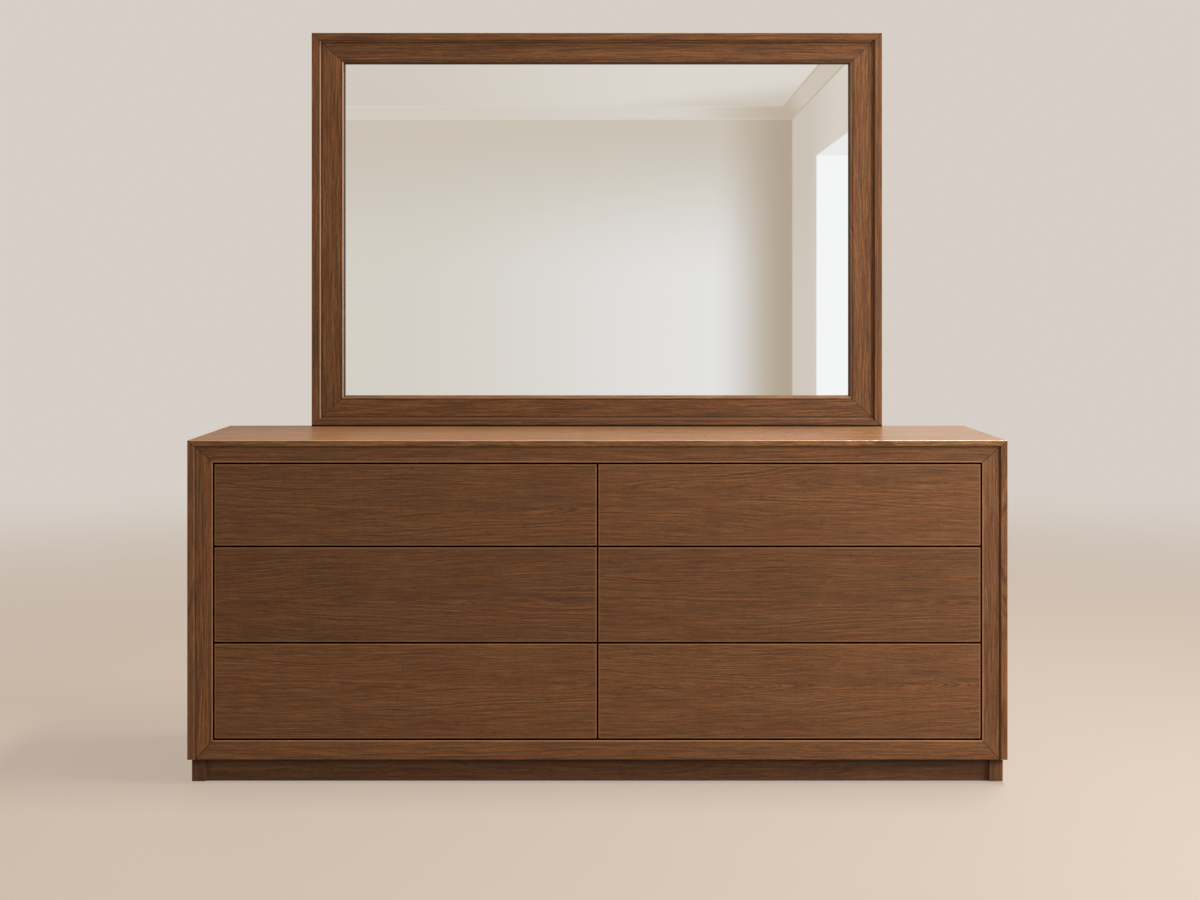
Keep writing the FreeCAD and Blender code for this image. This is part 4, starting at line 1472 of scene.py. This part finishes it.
@dataclass
class ReflectedRoom:
    """The plain pale room behind the camera that the mirror shows: wall, cornice, ceiling and doorway.

    Only reflections see it, so it neither lights the dresser nor stands in the way of a view.
    """

    wall_y: float = -7.65
    side_x: float = 1.364
    skew: float = 0.0158
    near_y: float = -2.4
    far_x: float = -9.0
    cornice: float = 0.07
    cornice_low: float = 2.30
    ceiling: float = 2.388
    bead: float = 7.0 * MM
    door_far: float = -6.147
    door_near: float = -4.6
    door_top: float = 1.934
    jamb: float = 0.42

    def side(self, y: float) -> float:
        """Gives the side wall's place, which runs a little out of square."""
        return self.side_x - self.skew * (y - self.wall_y)

    def edge(self, inset: float) -> tuple[Pair, Pair, Pair]:
        """Gives the start, the corner and the end of the walls in plan, moved inwards."""
        y = self.wall_y + inset
        return (self.far_x, y), (self.side_x - inset, y), (self.side(self.near_y) - inset, self.near_y)

    @staticmethod
    def face(lower: Sequence[Pair], low: float, upper: Sequence[Pair], high: float) -> tuple[Triple, ...]:
        """Gives the corners of a face between two lines in plan, each at its own height."""
        return (*lower[0], low), (*lower[1], low), (*upper[1], high), (*upper[0], high)

    def build(self) -> None:
        """Builds each surface of the room."""
        right, back, up = Way.RIGHT.value, Way.BACK.value, Way.UP.value
        face, low, high, head = self.face, self.cornice_low, self.ceiling, self.door_top
        under, over = low + self.bead, high - self.bead
        wall, step, rim, inner = (self.edge(inset) for inset in (
            0.0, self.bead, self.cornice - self.bead, self.cornice))
        doors = self.door_far, self.door_near
        jambs = [(self.side(y), y) for y in doors]
        outside = [(self.side_x + self.jamb, y) for y in doors]
        before, after, passage = (wall[1], jambs[0]), (jambs[1], wall[2]), (jambs[0], outside[0])
        # Each surface glows with its own colour; the washes paint its light and shade: brighter where the
        # window light falls, darker towards the ceiling and the corner.
        self._surface("wall", PaintedWall((0.696, 0.648, 0.590), (
            Wash((0.815, 0.800, 0.800), right, -1.6, 1.1), Wash((0.628, 0.560, 0.480), up, 1.15, 2.35),
            Wash((0.475, 0.388, 0.298), right, 0.80, 1.33))), face(wall[:2], 0.0, wall[:2], low))
        self._surface("side_wall", PaintedWall((0.625, 0.560, 0.480), (
            Wash((0.665, 0.600, 0.530), up, 2.0, 1.0), Wash((0.715, 0.652, 0.590), back, -6.9, -4.9))),
            face(before, 0.0, before, head), face(after, 0.0, after, head),
            face(wall[1:], head, wall[1:], low))
        self._surface("cornice", PaintedWall((0.690, 0.622, 0.552), (
            Wash((0.715, 0.665, 0.610), right, -1.2, 0.6), Wash((0.535, 0.445, 0.355), right, 0.55, 1.36))),
            face(step[:2], under, rim[:2], over))
        self._surface("side_cornice", PaintedWall((0.540, 0.450, 0.360), (
            Wash((0.640, 0.570, 0.490), back, -7.6, -6.6),)), face(step[1:], under, rim[1:], over))
        self._surface("cornice_beads", PaintedWall((0.715, 0.655, 0.590), (
            Wash((0.560, 0.470, 0.380), right, 0.75, 1.36),)),
            face(wall[:2], low, step[:2], under), face(wall[1:], low, step[1:], under),
            face(rim[:2], over, inner[:2], high), face(rim[1:], over, inner[1:], high))
        self._surface("ceiling", PaintedWall((0.672, 0.604, 0.535), (
            Wash((0.750, 0.700, 0.655), right, -1.6, 0.7),
            Wash((0.630, 0.555, 0.480), (1.0, -0.8, 0.0), 5.9, 7.3))),
            face(inner[:2], high, ((self.far_x, self.near_y), inner[2]), high))
        self._surface("doorway", PaintedWall((0.95, 0.955, 0.965)),
                      face(passage, 0.0, passage, head), face(outside, 0.0, outside, head))
        self._surface("soffit", PaintedWall((0.87, 0.862, 0.85)),
                      face(passage, head, (jambs[1], outside[1]), head))

    @staticmethod
    def _surface(name: str, paint: PaintedWall, *faces: Sequence[Triple]) -> None:
        """Makes one surface that only reflections see.

        Args:
            name: the surface's name.
            paint: its paint.
            *faces: the corners of each of its faces.
        """
        mesh = bmesh.new()
        for corners in faces:
            mesh.faces.new([mesh.verts.new(corner) for corner in corners])
        bmesh.ops.remove_doubles(mesh, verts=mesh.verts, dist=WELD)
        surface = object_from(mesh, f"room_{name}", paint.material(f"room_{name}"))
        surface.visible_camera = surface.visible_diffuse = surface.visible_shadow = False
        surface.visible_transmission = surface.visible_volume_scatter = False
        LOG.info("built the reflected %s", name)


@dataclass
class Studio:
    """A pale floor that fades into a pale background, soft lamps and the camera."""

    background: Colour = (0.68, 0.625, 0.572)
    ambient: Colour = (1.0, 0.94, 0.87)
    ambient_strength: float = 0.62
    floor: Colour = (0.42, 0.345, 0.285)
    floor_fleck: float = 1.05
    floor_mottle: Noise = Noise((1.2, 3.0, 1.0), 4.0)
    floor_roughness: float = 0.55
    floor_glow: Colour = (0.575, 0.475, 0.392)
    floor_share: float = 0.76
    floor_size: float = 60.0
    floor_squares: int = 8
    footprint: Triple = (0.880, 0.208, 0.0)
    footprint_soft: float = 6.0 * MM
    fade_start: float = 1.6
    fade_end: float = 6.5
    lens: float = 53.29
    sensor: float = 36.0
    eye: Triple = (-0.012, -4.135, 1.063)
    shift: Pair = (0.0067, -0.125)
    lamps: tuple[SoftLamp, ...] = (
        SoftLamp("window_light", (2.3, -1.3, 1.35), (0.3, -0.24, 0.45), (1.5, 1.5), 80.0, (0.93, 1.0, 1.07)),
        SoftLamp("ceiling_light", (1.4, 0.0, 4.2), (1.05, 0.0, 0.0), (1.6, 0.4), 348.0, (1.0, 0.98, 0.95)),
    )

    def build(self) -> None:
        """Sets up the floor, the background, the lamps, the camera and the view."""
        self._world()
        self._floor()
        for lamp in self.lamps:
            lamp.hang()
        ReflectedRoom().build()
        self._camera()
        bpy.context.scene.view_settings.view_transform = "Standard"

    def _world(self) -> None:
        """Makes the background that is seen, and the fainter ambient light that falls on things."""
        world = bpy.data.worlds.new("studio")
        world.use_nodes = True
        bpy.context.scene.world = world
        sheet = Sheet(world.node_tree)
        ambient = world.node_tree.nodes["Background"]
        sheet.fill(ambient, {"Color": self.ambient, "Strength": self.ambient_strength})
        shown = sheet.node("Background", {"Color": self.background, "Strength": 1.0})
        sheet.show(ambient, shown, sheet.seen(), world.node_tree.nodes["World Output"])

    def _floor(self) -> None:
        """Makes the floor, which fades into the background away from the dresser."""
        sheet = MaterialSheet("studio_floor")
        pale = tuple(channel * self.floor_fleck for channel in self.floor)
        mottle = sheet.noise(sheet.place, self.floor_mottle)
        sheet.feed(sheet.shader.inputs["Base Color"], sheet.blend(mottle, self.floor, pale))
        sheet.shader.inputs["Roughness"].default_value = self.floor_roughness
        away = sheet.step(sheet.length(sheet.place), self.fade_start, self.fade_end)
        shade = sheet.blend(away, self.floor_glow, self.background)
        glow = sheet.node("Emission", {"Color": shade, "Strength": 1.0})
        covered = sheet.math("MULTIPLY_ADD", away, 1.0 - self.floor_share, self.floor_share)
        beyond = sheet.axes(sheet.vector("SUBTRACT", sheet.vector("ABSOLUTE", sheet.place), self.footprint))
        outside = sheet.step(sheet.math("MAXIMUM", beyond["X"], beyond["Y"]), -self.footprint_soft,
                             self.footprint_soft)
        lit = sheet.times(covered, outside)
        sheet.show(sheet.shader, glow, sheet.times(lit, sheet.seen()), sheet.output)

        mesh = bmesh.new()
        squares = self.floor_squares
        bmesh.ops.create_grid(mesh, x_segments=squares, y_segments=squares, size=self.floor_size / 2)
        object_from(mesh, "studio_floor", sheet.material)

    def _camera(self) -> None:
        """Makes the level camera, whose shift frames the dresser without tilting it."""
        data = bpy.data.cameras.new("camera")
        data.lens = self.lens
        data.sensor_width = self.sensor
        data.shift_x, data.shift_y = self.shift
        camera = bpy.data.objects.new("camera", data)
        camera.location = self.eye
        camera.rotation_euler = (math.pi / 2, 0.0, 0.0)
        bpy.context.scene.collection.objects.link(camera)
        bpy.context.scene.camera = camera


def main() -> None:
    """Builds the dresser's looks in order, from the case to the studio."""
    logging.basicConfig(level=logging.INFO, format="%(name)s: %(message)s")
    slide_steel = SLIDE_STEEL.material()
    fitting_steel = FITTING_STEEL.material()
    Case().build()
    dress("slide_fixed_members", slide_steel)
    fronts = (
        Drawer("upper", "left", Figure((-0.33, -0.235, 0.598), 0.045, 0.012, tone=0.88)),
        Drawer("upper", "right", Figure((0.52, -0.235, 0.655), -0.040, 0.020, tone=0.97)),
        Drawer("middle", "left", Figure((-0.50, -0.235, 0.402), -0.050, 0.010, tone=0.81)),
        Drawer("middle", "right", Figure((0.48, -0.235, 0.395), 0.045, 0.008, tone=0.84)),
        Drawer("lower", "left", Figure((-0.28, -0.235, 0.215), 0.040, 0.010, tone=0.95)),
        Drawer("lower", "right", Figure((0.50, -0.235, 0.214), 0.085, 0.006, 520.0, 0.60, 0.94)),
    )
    for drawer in fronts:
        drawer.build(slide_steel)
    Mirror().build()
    BackFittings().build(fitting_steel)
    Studio().build()


if __name__ == "__main__":
    main()
